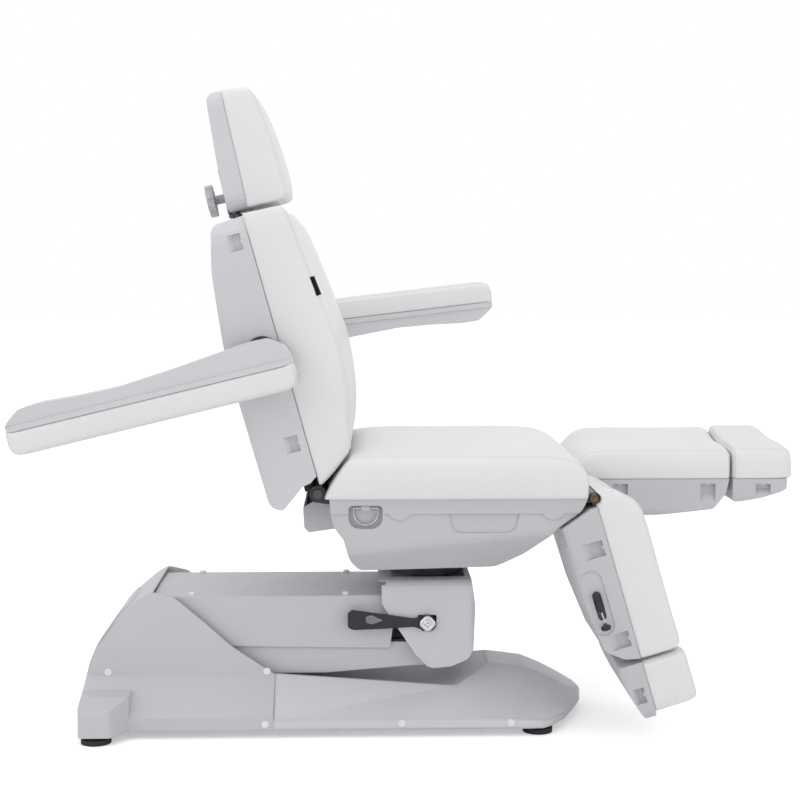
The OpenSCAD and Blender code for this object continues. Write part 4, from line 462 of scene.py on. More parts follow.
def cap(ring, across, up):
    """Inner points of an end panel, which joins the four sides of a ring."""
    n = len(ring)
    base = [ring[i] for i in range(across + 1)]
    right = [ring[across + j] for j in range(up + 1)]
    top = [ring[(2 * across + up - i) % n] for i in range(across + 1)]
    left = [ring[(n - j) % n] for j in range(up + 1)]
    inner = []
    for j in range(1, up):
        v = j / up
        for i in range(1, across):
            u = i / across
            edge = (1 - v) * base[i] + v * top[i] + (1 - u) * left[j] + u * right[j]
            corners = ((1 - u) * (1 - v) * base[0] + u * (1 - v) * base[-1]
                       + (1 - u) * v * top[0] + u * v * top[-1])
            inner.append(edge - corners)
    return inner


def cap_faces(first, inner_first, n, across, up):
    """Faces of an end panel over a ring that starts at first and inner points that start at inner_first."""
    def at(i, j):
        if j == 0:
            return first + i
        if j == up:
            return first + (2 * across + up - i) % n
        if i == 0:
            return first + (n - j) % n
        if i == across:
            return first + across + j
        return inner_first + (j - 1) * (across - 1) + i - 1

    return [(at(i, j), at(i + 1, j), at(i + 1, j + 1), at(i, j + 1))
            for j in range(up) for i in range(across)]


class Pad:
    """A closed cushion cover of six panels, built from rings along its length."""

    def __init__(self, name, stations, size, place, sides=None):
        length, height, _, half = size
        if sides is None:
            sides = [PLAIN_WALL, mirrored(PLAIN_TOP)[:-1] + PLAIN_TOP[::-1], mirrored(PLAIN_WALL)]
        self.across = 2 * round(half / NET)
        self.up = max(6, round(height / NET))
        along = max(8, round(length / NET))
        rings = [station_ring(s, size, sides, self.across, self.up) for s in stations]
        n = len(rings[0])
        # The rows are evenly spaced along a line near the outer top edge
        spine = [r[self.across + n // 8] for r in rings]
        marks = even(spine, along)
        rows = [[curve_through([r[j] for r in rings], t) for j in range(n)] for t in marks]
        self.n, self.rows = n, len(rows)
        points = [p for row in rows for p in row]
        faces = [face for i in range(len(rows) - 1) for face in joined(i * n, (i + 1) * n, n)]
        last = (len(rows) - 1) * n
        for first, ring in ((0, rows[0]), (last, rows[-1])):
            start = len(points)
            points += cap(ring, self.across, self.up)
            faces += cap_faces(first, start, n, self.across, self.up)
        self.piece = mesh_object(name, [place @ p for p in points], faces)

    def seams(self):
        """Vertex numbers along each sewn seam: the two top edges and the two end panels' rims."""
        a, u, n = self.across, self.up, self.n
        right, left = a + u, 2 * a + u
        lines = [[i * n + c for i in range(self.rows)] for c in (right, left)]
        for first in (0, (self.rows - 1) * n):
            lines.append([first + j % n for j in range(a, n + 1)])
        return lines

    def stitch_lines(self):
        """Vertex numbers along each seam with their neighbours on the panel that is stitched down."""
        a, u, n = self.across, self.up, self.n
        right, left = a + u, 2 * a + u
        lines = [[(i * n + c, i * n + (c + step) % n) for i in range(2, self.rows - 2)]
                 for c, step in ((right, 1), (left, -1))]
        for row, inner in ((0, 1), (self.rows - 1, self.rows - 2)):
            lines.append([(row * n + j % n, inner * n + j % n) for j in range(a + 1, n)])
        return lines

    def base_vertices(self):
        """Vertex numbers of the panel that lies on the shell."""
        return [i * self.n + j for i in range(self.rows) for j in range(self.across + 1)]


def puff(pad, pressure, limit, hold_ends=False):
    """Lets the foam push the cover out by a cloth simulation, held at its seams and its base and, where
    hold_ends says so, over its two end panels."""
    piece = pad.piece
    still = {v for line in pad.seams() for v in line} | set(pad.base_vertices())
    if hold_ends:
        still |= set(range(pad.rows * pad.n, len(piece.data.vertices)))
    piece.vertex_groups.new(name="held").add(sorted(still), 1.0, "REPLACE")
    cloth = piece.modifiers.new("Cover", "CLOTH")
    cloth.settings.vertex_group_mass = "held"
    cloth.settings.uniform_pressure_force = pressure
    for name, value in COVER.items():
        setattr(cloth.settings, name, value)
    cloth.settings.effector_weights.gravity = 0
    cloth.point_cache.frame_start, cloth.point_cache.frame_end = 1, FOAM_FRAMES
    start = [v.co.copy() for v in piece.data.vertices]
    scene = bpy.context.scene
    scene.frame_start, scene.frame_end = 1, FOAM_FRAMES
    for step in range(1, FOAM_FRAMES + 1):
        scene.frame_set(step)
    graph = bpy.context.evaluated_depsgraph_get()
    moved = [v.co.copy() for v in piece.evaluated_get(graph).data.vertices]
    piece.modifiers.clear()
    piece.vertex_groups.clear()
    scene.frame_set(1)
    for vertex, was, now in zip(piece.data.vertices, start, moved):
        shift = now - was
        if shift.length > 0:
            shift *= limit * tanh(shift.length / limit) / shift.length
        vertex.co = was + shift
    piece.data.update()


def relieve(piece, place, radius):
    """Presses a round hollow into a pad along the Y axis of its frame, as for a hinge bush."""
    back = place.inverted()
    for vertex in piece.data.vertices:
        spot = back @ (vertex.co / MM)
        if hypot(spot.x, spot.z) < radius:
            spot.z = sqrt(radius ** 2 - spot.x ** 2)
            vertex.co = place @ spot * MM


def sew(pad, depth):
    """One subdivision, then every seam drawn in by the depth."""
    piece = pad.piece
    mark = piece.data.attributes.new("seam", "FLOAT", "POINT")
    for line in pad.seams():
        for v in line:
            mark.data[v].value = 1.0
    smooth = piece.modifiers.new("Smooth", "SUBSURF")
    smooth.levels = smooth.render_levels = 1
    applied(piece)
    values = [d.value for d in piece.data.attributes["seam"].data]
    normals = [v.normal.copy() for v in piece.data.vertices]
    for vertex, value, normal in zip(piece.data.vertices, values, normals):
        vertex.co -= normal * depth * value ** 2
    piece.data.attributes.remove(piece.data.attributes["seam"])
    piece.data.shade_smooth()


PADS = {
    "seat_pad": dict(node="seat_cushion", body="seat", stations=SEAT_STATIONS, size=(551, 88, 20, 300),
                     place=SEAT_FRAME, swell=1.0),
    "back_pad": dict(node="back_cushion", body="back", stations=BACK_STATIONS, size=(583, 118, 14, 290),
                     place=BACK_FRAME @ Matrix.Translation((10.7, 0, 602.9)) @ FLAT, swell=1.0),
    "head_pad": dict(node="head_cushion", body="head", stations=HEAD_STATIONS, size=(252, 92, 7, 145),
                     place=HEAD_FRAME @ Matrix.Translation((32, 0, 262)) @ FLAT, swell=0.5),
}
for kind, node, body, frame_of, values in (
        ("arm", "armrest_pad_", "armrest_", arm_frame,
         dict(stations=ARM_STATIONS, size=(592, 48, 3, 45), start=(-61, 350, 30), swell=0.25)),
        ("leg", "leg_cushion_", "leg_", leg_frame,
         dict(stations=LEG_STATIONS, size=(363.7, 96, 5, 146), start=(-10, 154, 0), swell=0.4, roll=True)),
        ("foot", "foot_cushion_", "foot_", leg_frame,
         dict(stations=FOOT_STATIONS, size=(139, 96, 5, 146), start=(360, 154, 0), swell=0.3, roll=True))):
    for hand, way in SIDES:
        PADS[kind + "_pad_" + hand] = dict(
            node=node + hand, body=body + hand, frame=frame_of(way),
            place=frame_of(way) @ Matrix.Translation(values["start"]), **values)

# The cushions made so far, by name
made = {}


class CHAIR_OT_cushions(bpy.types.Operator):
    """Sews and fills the seat, back, head, arm, leg and foot cushions."""
    bl_idname = "chair.cushions"
    bl_label = "Cushions"

    def execute(self, context):
        settings = context.scene.chair
        cover = vinyl("white_vinyl_cover", settings.vinyl_colour)
        for name, spec in PADS.items():
            sides = [ROLL_OUTER, ROLL_TOP, ROLL_INNER] if spec.get("roll") else None
            pad = Pad(name, spec["stations"], spec["size"], spec["place"], sides)
            puff(pad, settings.pressure, settings.swell * spec["swell"], hold_ends=spec["swell"] < 1)
            sew(pad, settings.seam_depth)
            if name.startswith("leg"):
                relieve(pad.piece, spec["frame"], KNEE_HOLLOW)
            dress(pad.piece, cover, spec["body"])
            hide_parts(spec["node"])
            made[name] = pad
        if len(made) != len(PADS):
            raise RuntimeError("a cushion is missing")
        return {"FINISHED"}


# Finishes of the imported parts

def pair(name):
    """Names of a part's right and left node."""
    return [name + "_right", name + "_left"]


FINISHES = {
    "cover": ["rear_cover", "rear_hatch", "arm_top_cover", "arm_bottom_cover"],
    # Front cover: the cover ABS made lighter, a painted light on a cover that sits in shade under the chair
    "nose_painted_light": ["front_cover"],
    # Column cover: the cover ABS made lighter, a painted light
    "column": ["column_cover"],
    # Tub, hinge motor cover, leg and foot shells: the shell ABS darkened, a painted shade for parts that face
    # down or sit low
    "shells_painted_shade": ["seat_shell", "hinge_motor_cover"] + pair("leg_shell") + pair("foot_shell"),
    "shell": ["back_shell", "head_shell"] + pair("armrest_shell"),
    "link": ["lift_link"],
    "steel": ["base_frame", "lift_arm", "head_hinge"] + pair("leg_frame"),
    "bracket": ["column_head", "turntable_plate", "turntable_bearing", "seat_frame", "back_frame"],
    "motor": ["lift_motor", "recline_motor", "tilt_motor"],
    "zinc": ["recline_pins"],
    "bright": ["lift_rod", "tilt_rod", "lock_hub"] + pair("strap_ring") + pair("foot_rods"),
    "cap": ["base_screws", "arm_screws", "back_screws"],
    "black": ["lock_lever", "power_inlet"] + pair("armrest_pivot") + pair("leg_lever"),
    "rubber": ["levelling_feet"],
    "knob": ["head_knob"],
}


class CHAIR_OT_finishes(bpy.types.Operator):
    """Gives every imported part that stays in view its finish."""
    bl_idname = "chair.finishes"
    bl_label = "Finishes"

    def execute(self, context):
        s = context.scene.chair
        materials = {
            "cover": moulded("lift_cover_abs", s.cover_colour, 0.9),
            # The cover colour lightened by 1.14 is painted light, not a paler plastic
            "nose_painted_light": moulded("base_nose_abs", shaded(s.cover_colour, 1.14), 0.9, edge=9),
            # The cover colour lightened by 1.07 is painted light, not a paler plastic
            "column": moulded("column_abs", shaded(s.cover_colour, 1.07), 0.9),
            "link": coated("pale_coated_steel", s.cover_colour),
            # The same shell ABS, darkened to 0.87 as painted shade
            "shells_painted_shade": moulded("tub_abs", shaded(s.shell_colour, 0.87), 0.7),
            "shell": moulded("shell_abs", s.shell_colour, 0.7),
            "steel": coated("coated_steel", s.steel_colour),
            "bracket": coated("dark_bracket_steel", s.bracket_colour, 1.6),
            "motor": plastic("motor_housing", s.motor_colour, (0.4, 0.5)),
            "zinc": metal("dark_zinc", shaded(s.bright_colour, 0.2), (0.3, 0.42)),
            "bright": metal("bright_steel", s.bright_colour),
            "cap": moulded("white_screw_cap", shaded(s.cover_colour, 1.45), 0.5, (0.3, 0.38), 0.6),
            "black": plastic("black_nylon", s.black_colour),
            "rubber": rubber("foot_rubber", s.rubber_colour),
            "knob": plastic("grey_nylon_knob", s.knob_colour, (0.34, 0.45)),
        }
        for finish, nodes in FINISHES.items():
            for node in nodes:
                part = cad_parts[node]
                if not part.material_slots:
                    part.data.materials.append(materials[finish])
                for slot in part.material_slots:
                    slot.material = materials[finish]
        return {"FINISHED"}


# Small trim

def surface_of(node, start, way):
    """Point, in millimetres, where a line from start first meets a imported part."""
    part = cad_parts[node]
    back = part.matrix_world.inverted()
    hit, spot, _, _ = part.ray_cast(back @ (start * MM), back.to_3x3() @ way)
    if not hit:
        raise RuntimeError("a screw finds no surface on " + node)
    return part.matrix_world @ spot / MM


def geometry_group(name, **sockets):
    """A geometry tree with named inputs, and the outputs of its input node."""
    tree = bpy.data.node_groups.new(name, "GeometryNodeTree")
    tree.interface.new_socket("Geometry", in_out="OUTPUT", socket_type="NodeSocketGeometry")
    for label, kind in {"Geometry": "Geometry", **sockets}.items():
        tree.interface.new_socket(label, in_out="INPUT", socket_type="NodeSocket" + kind)
    return tree, add(tree, "NodeGroupInput").outputs


def close_group(tree, instances, finish):
    """Turns the instances into one mesh with its finish, as the output of the tree."""
    real = add(tree, "GeometryNodeRealizeInstances", Geometry=instances.outputs["Instances"])
    painted = add(tree, "GeometryNodeSetMaterial", Geometry=real.outputs["Geometry"], Material=finish)
    add(tree, "NodeGroupOutput", Geometry=painted.outputs["Geometry"])
    return tree


def grown(piece, tree, **values):
    """Runs a geometry tree on a piece with its inputs set and leaves the plain mesh that it makes."""
    modifier = piece.modifiers.new(tree.name, "NODES")
    modifier.node_group = tree
    for item in tree.interface.items_tree:
        if item.in_out == "INPUT" and item.name in values:
            modifier[item.identifier] = values[item.name]
    applied(piece)
    piece.data.shade_smooth()
    if not piece.data.polygons:
        raise RuntimeError("nothing grew on " + piece.name)


def screw_group():
    """Heads on points, each along its point's facing and turned by chance about itself."""
    tree, given = geometry_group("screw_heads", Head="Object", Seed="Int", Finish="Material")
    head = add(tree, "GeometryNodeObjectInfo", Object=given["Head"]).outputs["Geometry"]
    facing = add(tree, "GeometryNodeInputNamedAttribute", data_type="FLOAT_VECTOR", Name="facing")
    stand = add(tree, "FunctionNodeAlignRotationToVector", Vector=facing.outputs["Attribute"], axis="Z")
    chance = add(tree, "FunctionNodeRandomValue", data_type="FLOAT", Seed=given["Seed"], Max=pi)
    spin = add(tree, "FunctionNodeAxisAngleToRotation", Angle=chance.outputs[1], Axis=(0, 0, 1))
    turn = add(tree, "FunctionNodeRotateRotation", Rotation=stand.outputs[0], Rotate_By=spin.outputs[0],
               rotation_space="LOCAL")
    heads = add(tree, "GeometryNodeInstanceOnPoints", Points=given["Geometry"], Instance=head,
                Rotation=turn.outputs[0])
    return close_group(tree, heads, given["Finish"])


def stitch_group():
    """Arched stitches at even steps along edges, with their backs along the point attribute up."""
    tree, given = geometry_group("stitches", Pitch="Float", Length="Float", Thickness="Float",
                                 Finish="Material")
    path = add(tree, "GeometryNodeMeshToCurve", Mesh=given["Geometry"]).outputs["Curve"]
    path = add(tree, "GeometryNodeResampleCurve", Curve=path, Length=given["Pitch"],
               mode="LENGTH").outputs["Curve"]
    ends = []
    for share in (-0.5, 0.5):
        half = add(tree, "ShaderNodeMath", {0: given["Length"], 1: share}, operation="MULTIPLY")
        ends.append(add(tree, "ShaderNodeCombineXYZ", X=half.outputs[0]).outputs[0])
    top = add(tree, "ShaderNodeCombineXYZ", Z=given["Thickness"]).outputs[0]
    arch = add(tree, "GeometryNodeCurveQuadraticBezier", Resolution=4, Start=ends[0], Middle=top, End=ends[1])
    ring = add(tree, "GeometryNodeCurvePrimitiveCircle", Resolution=6, Radius=given["Thickness"])
    loop = add(tree, "GeometryNodeCurveToMesh", Curve=arch.outputs["Curve"],
               Profile_Curve=ring.outputs["Curve"], Fill_Caps=True)
    tangent = add(tree, "GeometryNodeInputTangent").outputs[0]
    up = add(tree, "GeometryNodeInputNamedAttribute", data_type="FLOAT_VECTOR", Name="up")
    along = add(tree, "FunctionNodeAlignRotationToVector", Vector=tangent, axis="X").outputs[0]
    turn = add(tree, "FunctionNodeAlignRotationToVector", Rotation=along, Vector=up.outputs["Attribute"],
               axis="Z", pivot_axis="X")
    loops = add(tree, "GeometryNodeInstanceOnPoints", Points=path, Instance=loop.outputs["Mesh"],
                Rotation=turn.outputs[0])
    return close_group(tree, loops, given["Finish"])


def turned(profile, lobes=0, depth=0.0, sides=48):
    """Points and faces of a closed form turned about Z, with lobes round it."""
    points, faces = [(0, 0, profile[0][1])], []
    for r, z in profile[1:-1]:
        for k in range(sides):
            angle = 2 * pi * k / sides
            out = r * (1 + depth * cos(lobes * angle) if lobes else 1)
            points.append((out * cos(angle), out * sin(angle), z))
    points.append((0, 0, profile[-1][1]))
    last = len(points) - 1
    rings = len(profile) - 2
    for k in range(sides):
        n = (k + 1) % sides
        faces.append((0, 1 + n, 1 + k))
        for i in range(rings - 1):
            a, b = 1 + i * sides, 1 + (i + 1) * sides
            faces.append((a + k, a + n, b + n, b + k))
        top = 1 + (rings - 1) * sides
        faces.append((top + k, top + n, last))
    return points, faces


def collar(hole, loop, sides=48):
    """Points and faces of a ring turned about Z from a closed loop of radii beyond the hole and heights."""
    n = len(loop)
    points, faces = [], []
    for k in range(sides):
        angle = 2 * pi * k / sides
        points += [((hole + r) * cos(angle), (hole + r) * sin(angle), z) for r, z in loop]
        faces += joined(k * n, (k + 1) % sides * n, n)
    return points, faces


# A pan head's outline, radius and height in millimetres, the height above which its cross is sunk, how
# deep, and half the width of the cross's arms as a share of the distance from the axis
PAN_HEAD = [(0, -1), (5, -1), (5, 0.7), (4.7, 1.6), (4.0, 2.4), (2.95, 2.85), (2.6, 2.95), (1.0, 3.05),
            (0, 3.1)]
CROSS_FROM, CROSS_DEPTH, CROSS_ARM = 2.9, 1.5, 0.3


def pan_head():
    """A pan head of 10 mm with a cross recess, on its own axis."""
    points, faces = turned(PAN_HEAD, sides=32)
    sunk = []
    for x, y, z in points:
        r = hypot(x, y)
        cross = r < 0.1 or min(abs(x), abs(y)) <= CROSS_ARM * r
        sunk.append((x, y, z - CROSS_DEPTH if z > CROSS_FROM and cross else z))
    return sunk, faces


def spindle(start, end):
    """Frame with its Z axis from start towards end."""
    way = Vector(end) - Vector(start)
    return Matrix.Translation(start) @ way.to_track_quat("Z", "Y").to_matrix().to_4x4()


def placed(name, place, form):
    """A piece from points and faces in the frame place."""
    points, faces = form
    return mesh_object(name, [place @ Vector(p) for p in points], faces)


def swept(name, knots, radius, steps=16, sides=10):
    """A round wire along a smooth curve through the knots."""
    path = split([Vector(k) for k in knots], steps)
    points, faces = [], []
    side = Vector((0, 1, 0))
    for i, spot in enumerate(path):
        way = (path[min(i + 1, steps)] - path[max(i - 1, 0)]).normalized()
        across = (side - way * side.dot(way)).normalized()
        up = way.cross(across)
        for k in range(sides):
            angle = 2 * pi * k / sides
            points.append(spot + (across * cos(angle) + up * sin(angle)) * radius)
    for i in range(steps):
        faces += joined(i * sides, (i + 1) * sides, sides)
    faces += [tuple(range(sides)), tuple(range(steps * sides, (steps + 1) * sides))]
    return mesh_object(name, points, faces)


# Where the search for each small screw's seat starts, in millimetres, in the frame of what carries it
BACK_SCREWS = [(-22, y, z) for y in (-278.5, 278.5) for z in (120.4, 550.8)]
LEG_SCREWS = [(102.7, "leg_"), (303, "leg_"), (429.5, "foot_")]
LEG_MIDDLE, LEG_SCREW_SIDE, LEG_SCREW_START = 154, 135.5, -24
ARM_SCREWS = [(x, y, 20) for y in (-104, 104) for x in (-400, -152)]


def screw_spots():
    """Body, part, start and way of every small screw: in the side pockets and under the arm cover."""
    forward = BACK_FRAME.to_3x3() @ Vector((1, 0, 0))
    spots = [("back", "back_shell", BACK_FRAME @ Vector(p), forward) for p in BACK_SCREWS]
    for name, side in SIDES:
        turn = leg_frame(side)
        for x, body in LEG_SCREWS:
            for y in (LEG_MIDDLE - LEG_SCREW_SIDE, LEG_MIDDLE + LEG_SCREW_SIDE):
                spots.append((body + name, body + "shell_" + name, turn @ Vector((x, y, LEG_SCREW_START)),
                              turn.to_3x3() @ Vector((0, 0, 1))))
    return spots + [("lift_link", "arm_bottom_cover", Vector(p), Vector((0, 0, 1))) for p in ARM_SCREWS]


# The tag: a point near it on the back, its width and length, how far it stands over and dips into the
# cover, and its counts of faces
TAG_PLACE = (225, -296, 434)
TAG_SIZE = (27, 41)
TAG_ABOVE, TAG_BELOW = 1.1, 0.6
TAG_NET = (5, 12)


def tag_form(cover):
    """Points and faces of a thin blank tag laid over the near front edge of the back cushion."""
    tree = surface_tree(cover.data, MM)
    middle, normal, _, _ = tree.find_nearest(BACK_FRAME @ Vector(TAG_PLACE))
    along = (BACK_FRAME.to_3x3() @ Vector((0, 0, 1))).normalized()
    across = normal.cross(along).normalized()
    wide, long = TAG_NET
    outer, inner = [], []
    for j in range(long + 1):
        for i in range(wide + 1):
            goal = middle + across * TAG_SIZE[0] * (i / wide - 0.5) + along * TAG_SIZE[1] * (j / long - 0.5)
            spot, face_normal, _, _ = tree.find_nearest(goal)
            outer.append(spot + face_normal * TAG_ABOVE)
            inner.append(spot - face_normal * TAG_BELOW)
    n = len(outer)
    row = wide + 1
    faces = [(j * row + i, j * row + i + 1, (j + 1) * row + i + 1, (j + 1) * row + i)
             for j in range(long) for i in range(wide)]
    faces += [tuple(n + k for k in reversed(face)) for face in faces]
    rim = (list(range(row)) + [j * row + wide for j in range(1, long + 1)]
           + [long * row + i for i in range(wide - 1, -1, -1)] + [j * row for j in range(long - 1, 0, -1)])
    faces += [(a, b, n + b, n + a) for a, b in zip(rim, rim[1:] + rim[:1])]
    return outer + inner, faces


# Height of a stitch's ends over the cover, as a share of the thread's radius
STITCH_RISE = 0.4


class CHAIR_OT_stitches(bpy.types.Operator):
    """Stitches down the seams of every cushion."""
    bl_idname = "chair.stitches"
    bl_label = "Stitches"

    def execute(self, context):
        s = context.scene.chair
        tree = stitch_group()
        yarn = thread("polyester_thread", s.thread_colour)
        for name, pad in made.items():
            cover = pad.piece.data
            shape = surface_tree(cover)
            points, edges, ups = [], [], []
            for line in pad.stitch_lines():
                first = len(points)
                for seam, inner in line:
                    spot = cover.vertices[seam].co
                    way = (cover.vertices[inner].co - spot).normalized()
                    spot, normal, _, _ = shape.find_nearest(spot + way * s.stitch_offset)
                    points.append(spot + normal * s.thread_radius * STITCH_RISE)
                    ups.append(normal)
                edges += [(k, k + 1) for k in range(first, len(points) - 1)]
            piece = marked_points(name + "_stitches", points, edges, "up", ups)
            grown(piece, tree, Pitch=s.stitch_pitch, Length=s.stitch_length, Thickness=s.thread_radius,
                  Finish=yarn)
            dress(piece, yarn, PADS[name]["body"])
        return {"FINISHED"}


class CHAIR_OT_screws(bpy.types.Operator):
    """Sets pan-head screws in the side pockets and under the arm cover."""
    bl_idname = "chair.screws"
    bl_label = "Screws"

    def execute(self, context):
        s = context.scene.chair
        finish = moulded("white_screw", shaded(s.cover_colour, 1.25), 0.5, (0.3, 0.38), 0.4)
        head = placed("screw_head", Matrix.Identity(4), pan_head())
        tree = screw_group()
        bodies = {}
        for body, node, start, way in screw_spots():
            bodies.setdefault(body, []).append((surface_of(node, start, way), -way))
        for body, spots in bodies.items():
            piece = marked_points(body + "_screws", [spot * MM for spot, _ in spots], [], "facing",
                                  [way for _, way in spots])
            grown(piece, tree, Head=head, Seed=7, Finish=finish)
            dress(piece, finish, body)
        data = head.data
        bpy.data.objects.remove(head)
        bpy.data.meshes.remove(data)
        return {"FINISHED"}


# Turned outlines, radius and height in millimetres
STAR_KNOB = [(0, 0), (3.2, 0), (3.2, 3.5), (7.5, 4.5), (9.6, 6.5), (10, 9.5), (9.4, 13), (7.5, 15.2),
             (4, 16.2), (2.5, 15.6), (0, 15.4)]
STAR_WASHER = [(0, -0.3), (14, -0.3), (16.2, 0.6), (16.6, 2.4), (14.6, 4.4), (11.6, 5.0), (9.8, 3.4),
               (7.6, 3.0), (6.8, 6.4), (5.6, 7.2), (3.2, 7.2), (3.0, 4.6), (0, 4.4)]
PIVOT_COLLAR = [(0, 0), (11.8, 0), (12.3, 0.5), (12.3, 4.5), (11.2, 5.6), (1, 5.6), (0, 4.8)]
BUSH_CAP = [(0, 0), (9.4, 0), (9.6, 0.6), (9.6, 6.2), (8.8, 7.2), (5.2, 7.6), (4.6, 6.4), (0, 6.2)]
# Places of the collars on the back, of wires, knobs and bushes on a leg, and of the hub on the column
PIVOT_HOLE = 23.8
PIVOT = (-27, 285.3, 317.8)
WIRE = [(232, 302.5, -53.3), (243, 307, -53.4), (255, 309, -53.7)]
WIRE_RADIUS = 1.6
KNOB_AIM = (270, 311, -54.2)
# How far a knob reaches back over its wire, as a share of the wire's last stretch
KNOB_OVERLAP = 0.1
BUSH_PLACE = 276.3
HUB = (0, -168.6, 230)


def facing_side(place, side):
    """Frame at a place with its Z axis turned to the right (-1) or the left (1)."""
    return Matrix.Translation(place) @ Matrix.Rotation(radians(-90 * side), 4, "X")


class CHAIR_OT_fittings(bpy.types.Operator):
    """Adds release knobs and wires, hub star, knee bushes, black pivot collars that stand in for the shade
    round the arm pivots, and the blank tag.
    """
    bl_idname = "chair.fittings"
    bl_label = "Fittings"

    def execute(self, context):
        s = context.scene.chair
        black = plastic("black_star_knob", s.black_colour, (0.3, 0.42), 0.6)
        wire = metal("spring_wire", s.bright_colour, (0.2, 0.32))
        star = metal("chromed_star", shaded(s.bright_colour, 1.25), (0.08, 0.18))
        bronze = metal("bronze_bush", s.bush_colour, (0.34, 0.5))
        for name, side in SIDES:
            turn = leg_frame(side)
            knots = [turn @ Vector(p) for p in WIRE]
            rod = swept("release_wire_" + name, knots, WIRE_RADIUS)
            dress(rod, wire, "leg_lever_" + name)
            root = knots[2] + (knots[1] - knots[2]) * KNOB_OVERLAP
            knob = placed("release_knob_" + name, spindle(root, turn @ Vector(KNOB_AIM)),
                          turned(STAR_KNOB, 6, 0.1))
            dress(knob, black, "leg_lever_" + name)
            bush = placed("knee_bush_" + name, turn @ facing_side((0, BUSH_PLACE, 0), 1), turned(BUSH_CAP))
            dress(bush, bronze, "seat")
            # Black collars round the arm pivots on the back: painted shade for the dark gap in the shell
            # round each pivot
            x, y, z = PIVOT
            ring = placed("pivot_collar_" + name, BACK_FRAME @ facing_side((x, side * y, z), side),
                          collar(PIVOT_HOLE, PIVOT_COLLAR))
            dress(ring, black, "back")
        hub = placed("hub_star", facing_side(HUB, -1), turned(STAR_WASHER, 4, 0.08, 64))
        dress(hub, star, "column")
        tag = placed("blank_tag", Matrix.Identity(4), tag_form(made["back_pad"].piece))
        dress(tag, woven("woven_tag", s.tag_colour), "back")
        return {"FINISHED"}


# Stage

# Each lamp's name, place, aim, diameter in metres and power in watts
LAMPS = [("top_light", (-0.2, -0.6, 3.7), (0.0, 0.0, 0.5), 3.0, 24),
         ("left_light", (-2.7, -2.6, 2.1), (-0.3, 0.0, 0.3), 2.4, 13),
         ("right_light", (2.9, -2.3, 1.3), (0.2, 0.0, 0.2), 2.4, 11)]
# Light of the surroundings on the chair, and of the floor towards the camera
WORLD_LIGHT, FLOOR_LIGHT = 0.69, 0.42
# Corners in millimetres, and the gap under the feet in metres
FLOOR = [(-14000, -8000, 0), (14000, -8000, 0), (14000, 26000, 0), (-14000, 26000, 0)]
FLOOR_GAP = 0.0005
# The camera that the photo's perspective gives: film width in millimetres, focal length and image
# width in pixels, place in metres, tilt and turn in degrees
FILM, FOCAL_PIXELS, IMAGE_WIDTH = 36, 1604, 800
CAMERA_PLACE = (-0.152, -3.588, 1.010)
CAMERA_TILT, CAMERA_TURN = 85.095, -1.544


def lamp(name, place, aim, size, power):
    """A round area lamp that looks at its aim."""
    data = bpy.data.lights.new(name, "AREA")
    data.shape = "DISK"
    data.size = size
    data.energy = power
    piece = in_scene(name, data)
    piece.location = place
    piece.rotation_euler = (Vector(aim) - Vector(place)).to_track_quat("-Z", "Y").to_euler()


def floor_paint(name, colour):
    """Matt floor paint. To the eye: plain white with hardly any drift, lit up towards the camera so that
    the floor runs into the background, while its shadows stay."""
    skin = Skin(name)
    seen = skin.add("LightPath").outputs["Is Camera Ray"]
    matt = skin.add("BsdfDiffuse", Color=skin.tint(600, colour, (0.99, 1.0)))
    lift = skin.add("Emission", Strength=seen, Color=(FLOOR_LIGHT, FLOOR_LIGHT, FLOOR_LIGHT, 1))
    both = skin.add("AddShader", {0: matt.outputs[0], 1: lift.outputs[0]})
    skin.add("OutputMaterial", Surface=both.outputs[0])
    return skin.material


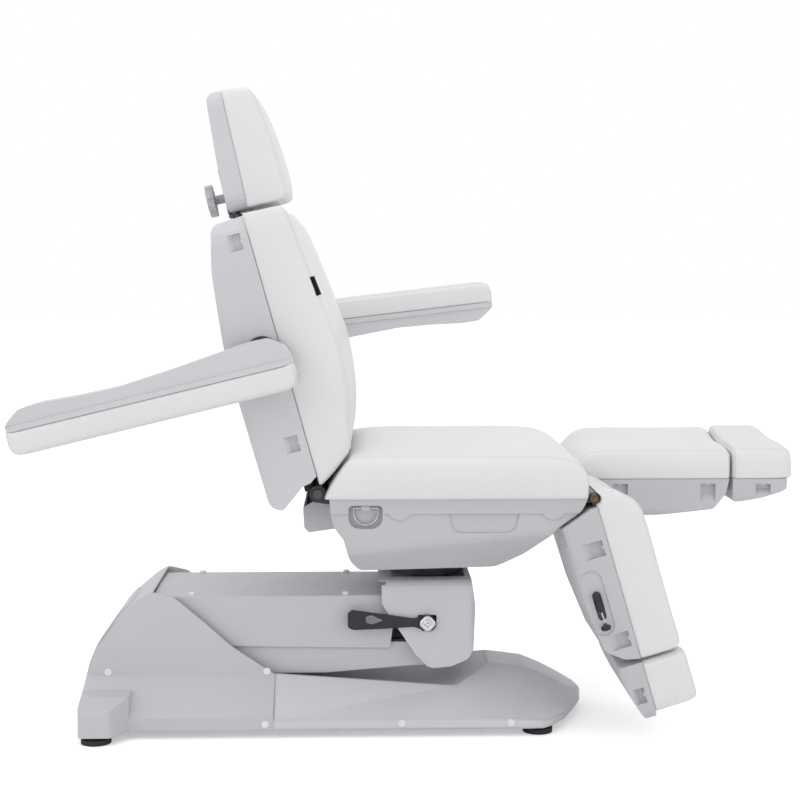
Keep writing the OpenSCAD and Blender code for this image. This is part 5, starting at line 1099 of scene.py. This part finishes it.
class CHAIR_OT_stage(bpy.types.Operator):
    """Makes the pale floor, the plain light and the camera."""
    bl_idname = "chair.stage"
    bl_label = "Stage"

    def execute(self, context):
        scene = context.scene
        world = bpy.data.worlds.new("studio")
        scene.world = world
        world.use_nodes = True
        tree = world.node_tree
        tree.nodes.clear()
        rays = add(tree, "ShaderNodeLightPath").outputs
        seen = rays["Is Camera Ray"]
        for kind in ("Is Glossy Ray", "Is Transmission Ray"):
            seen = add(tree, "ShaderNodeMath", {0: seen, 1: rays[kind]}, operation="MAXIMUM").outputs[0]
        strength = add(tree, "ShaderNodeMapRange", Value=seen, To_Min=WORLD_LIGHT, To_Max=1.0)
        sky = add(tree, "ShaderNodeBackground", Strength=strength.outputs["Result"], Color=(1, 1, 1, 1))
        add(tree, "ShaderNodeOutputWorld", Surface=sky.outputs["Background"])

        for values in LAMPS:
            lamp(*values)

        floor = mesh_object("floor", FLOOR, [(0, 1, 2, 3)])
        floor.location.z = -FLOOR_GAP
        floor.data.materials.append(floor_paint("white_floor", scene.chair.floor_colour))

        data = bpy.data.cameras.new("camera")
        data.sensor_width = FILM
        data.lens = FILM * FOCAL_PIXELS / IMAGE_WIDTH
        data.clip_end = 60
        camera = in_scene("camera", data)
        camera.location = CAMERA_PLACE
        camera.rotation_euler = (radians(CAMERA_TILT), 0, radians(CAMERA_TURN))
        scene.camera = camera
        scene.view_settings.view_transform = "Standard"
        return {"FINISHED"}


class CHAIR_PT_panel(bpy.types.Panel):
    """Chair settings and steps in the sidebar."""
    bl_idname = "CHAIR_PT_panel"
    bl_label = "Podiatry chair"
    bl_space_type = "VIEW_3D"
    bl_region_type = "UI"
    bl_category = "Chair"

    def draw(self, context):
        layout = self.layout
        settings = context.scene.chair
        for name in ChairSettings.__annotations__:
            layout.prop(settings, name)
        for step in STEPS:
            layout.operator(step.bl_idname)


STEPS = [CHAIR_OT_cushions, CHAIR_OT_stitches, CHAIR_OT_screws, CHAIR_OT_fittings, CHAIR_OT_finishes,
         CHAIR_OT_stage]
CLASSES = [ChairSettings, *STEPS, CHAIR_PT_panel]


def register():
    """Registers the settings, the steps and the panel."""
    for item in CLASSES:
        bpy.utils.register_class(item)
    bpy.types.Scene.chair = bpy.props.PointerProperty(type=ChairSettings)


def unregister():
    """Takes back what register did."""
    del bpy.types.Scene.chair
    for item in reversed(CLASSES):
        bpy.utils.unregister_class(item)


def main():
    """Runs every step in order."""
    register()
    bpy.ops.chair.cushions()
    bpy.ops.chair.stitches()
    bpy.ops.chair.screws()
    bpy.ops.chair.fittings()
    bpy.ops.chair.finishes()
    bpy.ops.chair.stage()


if __name__ == "__main__":
    main()
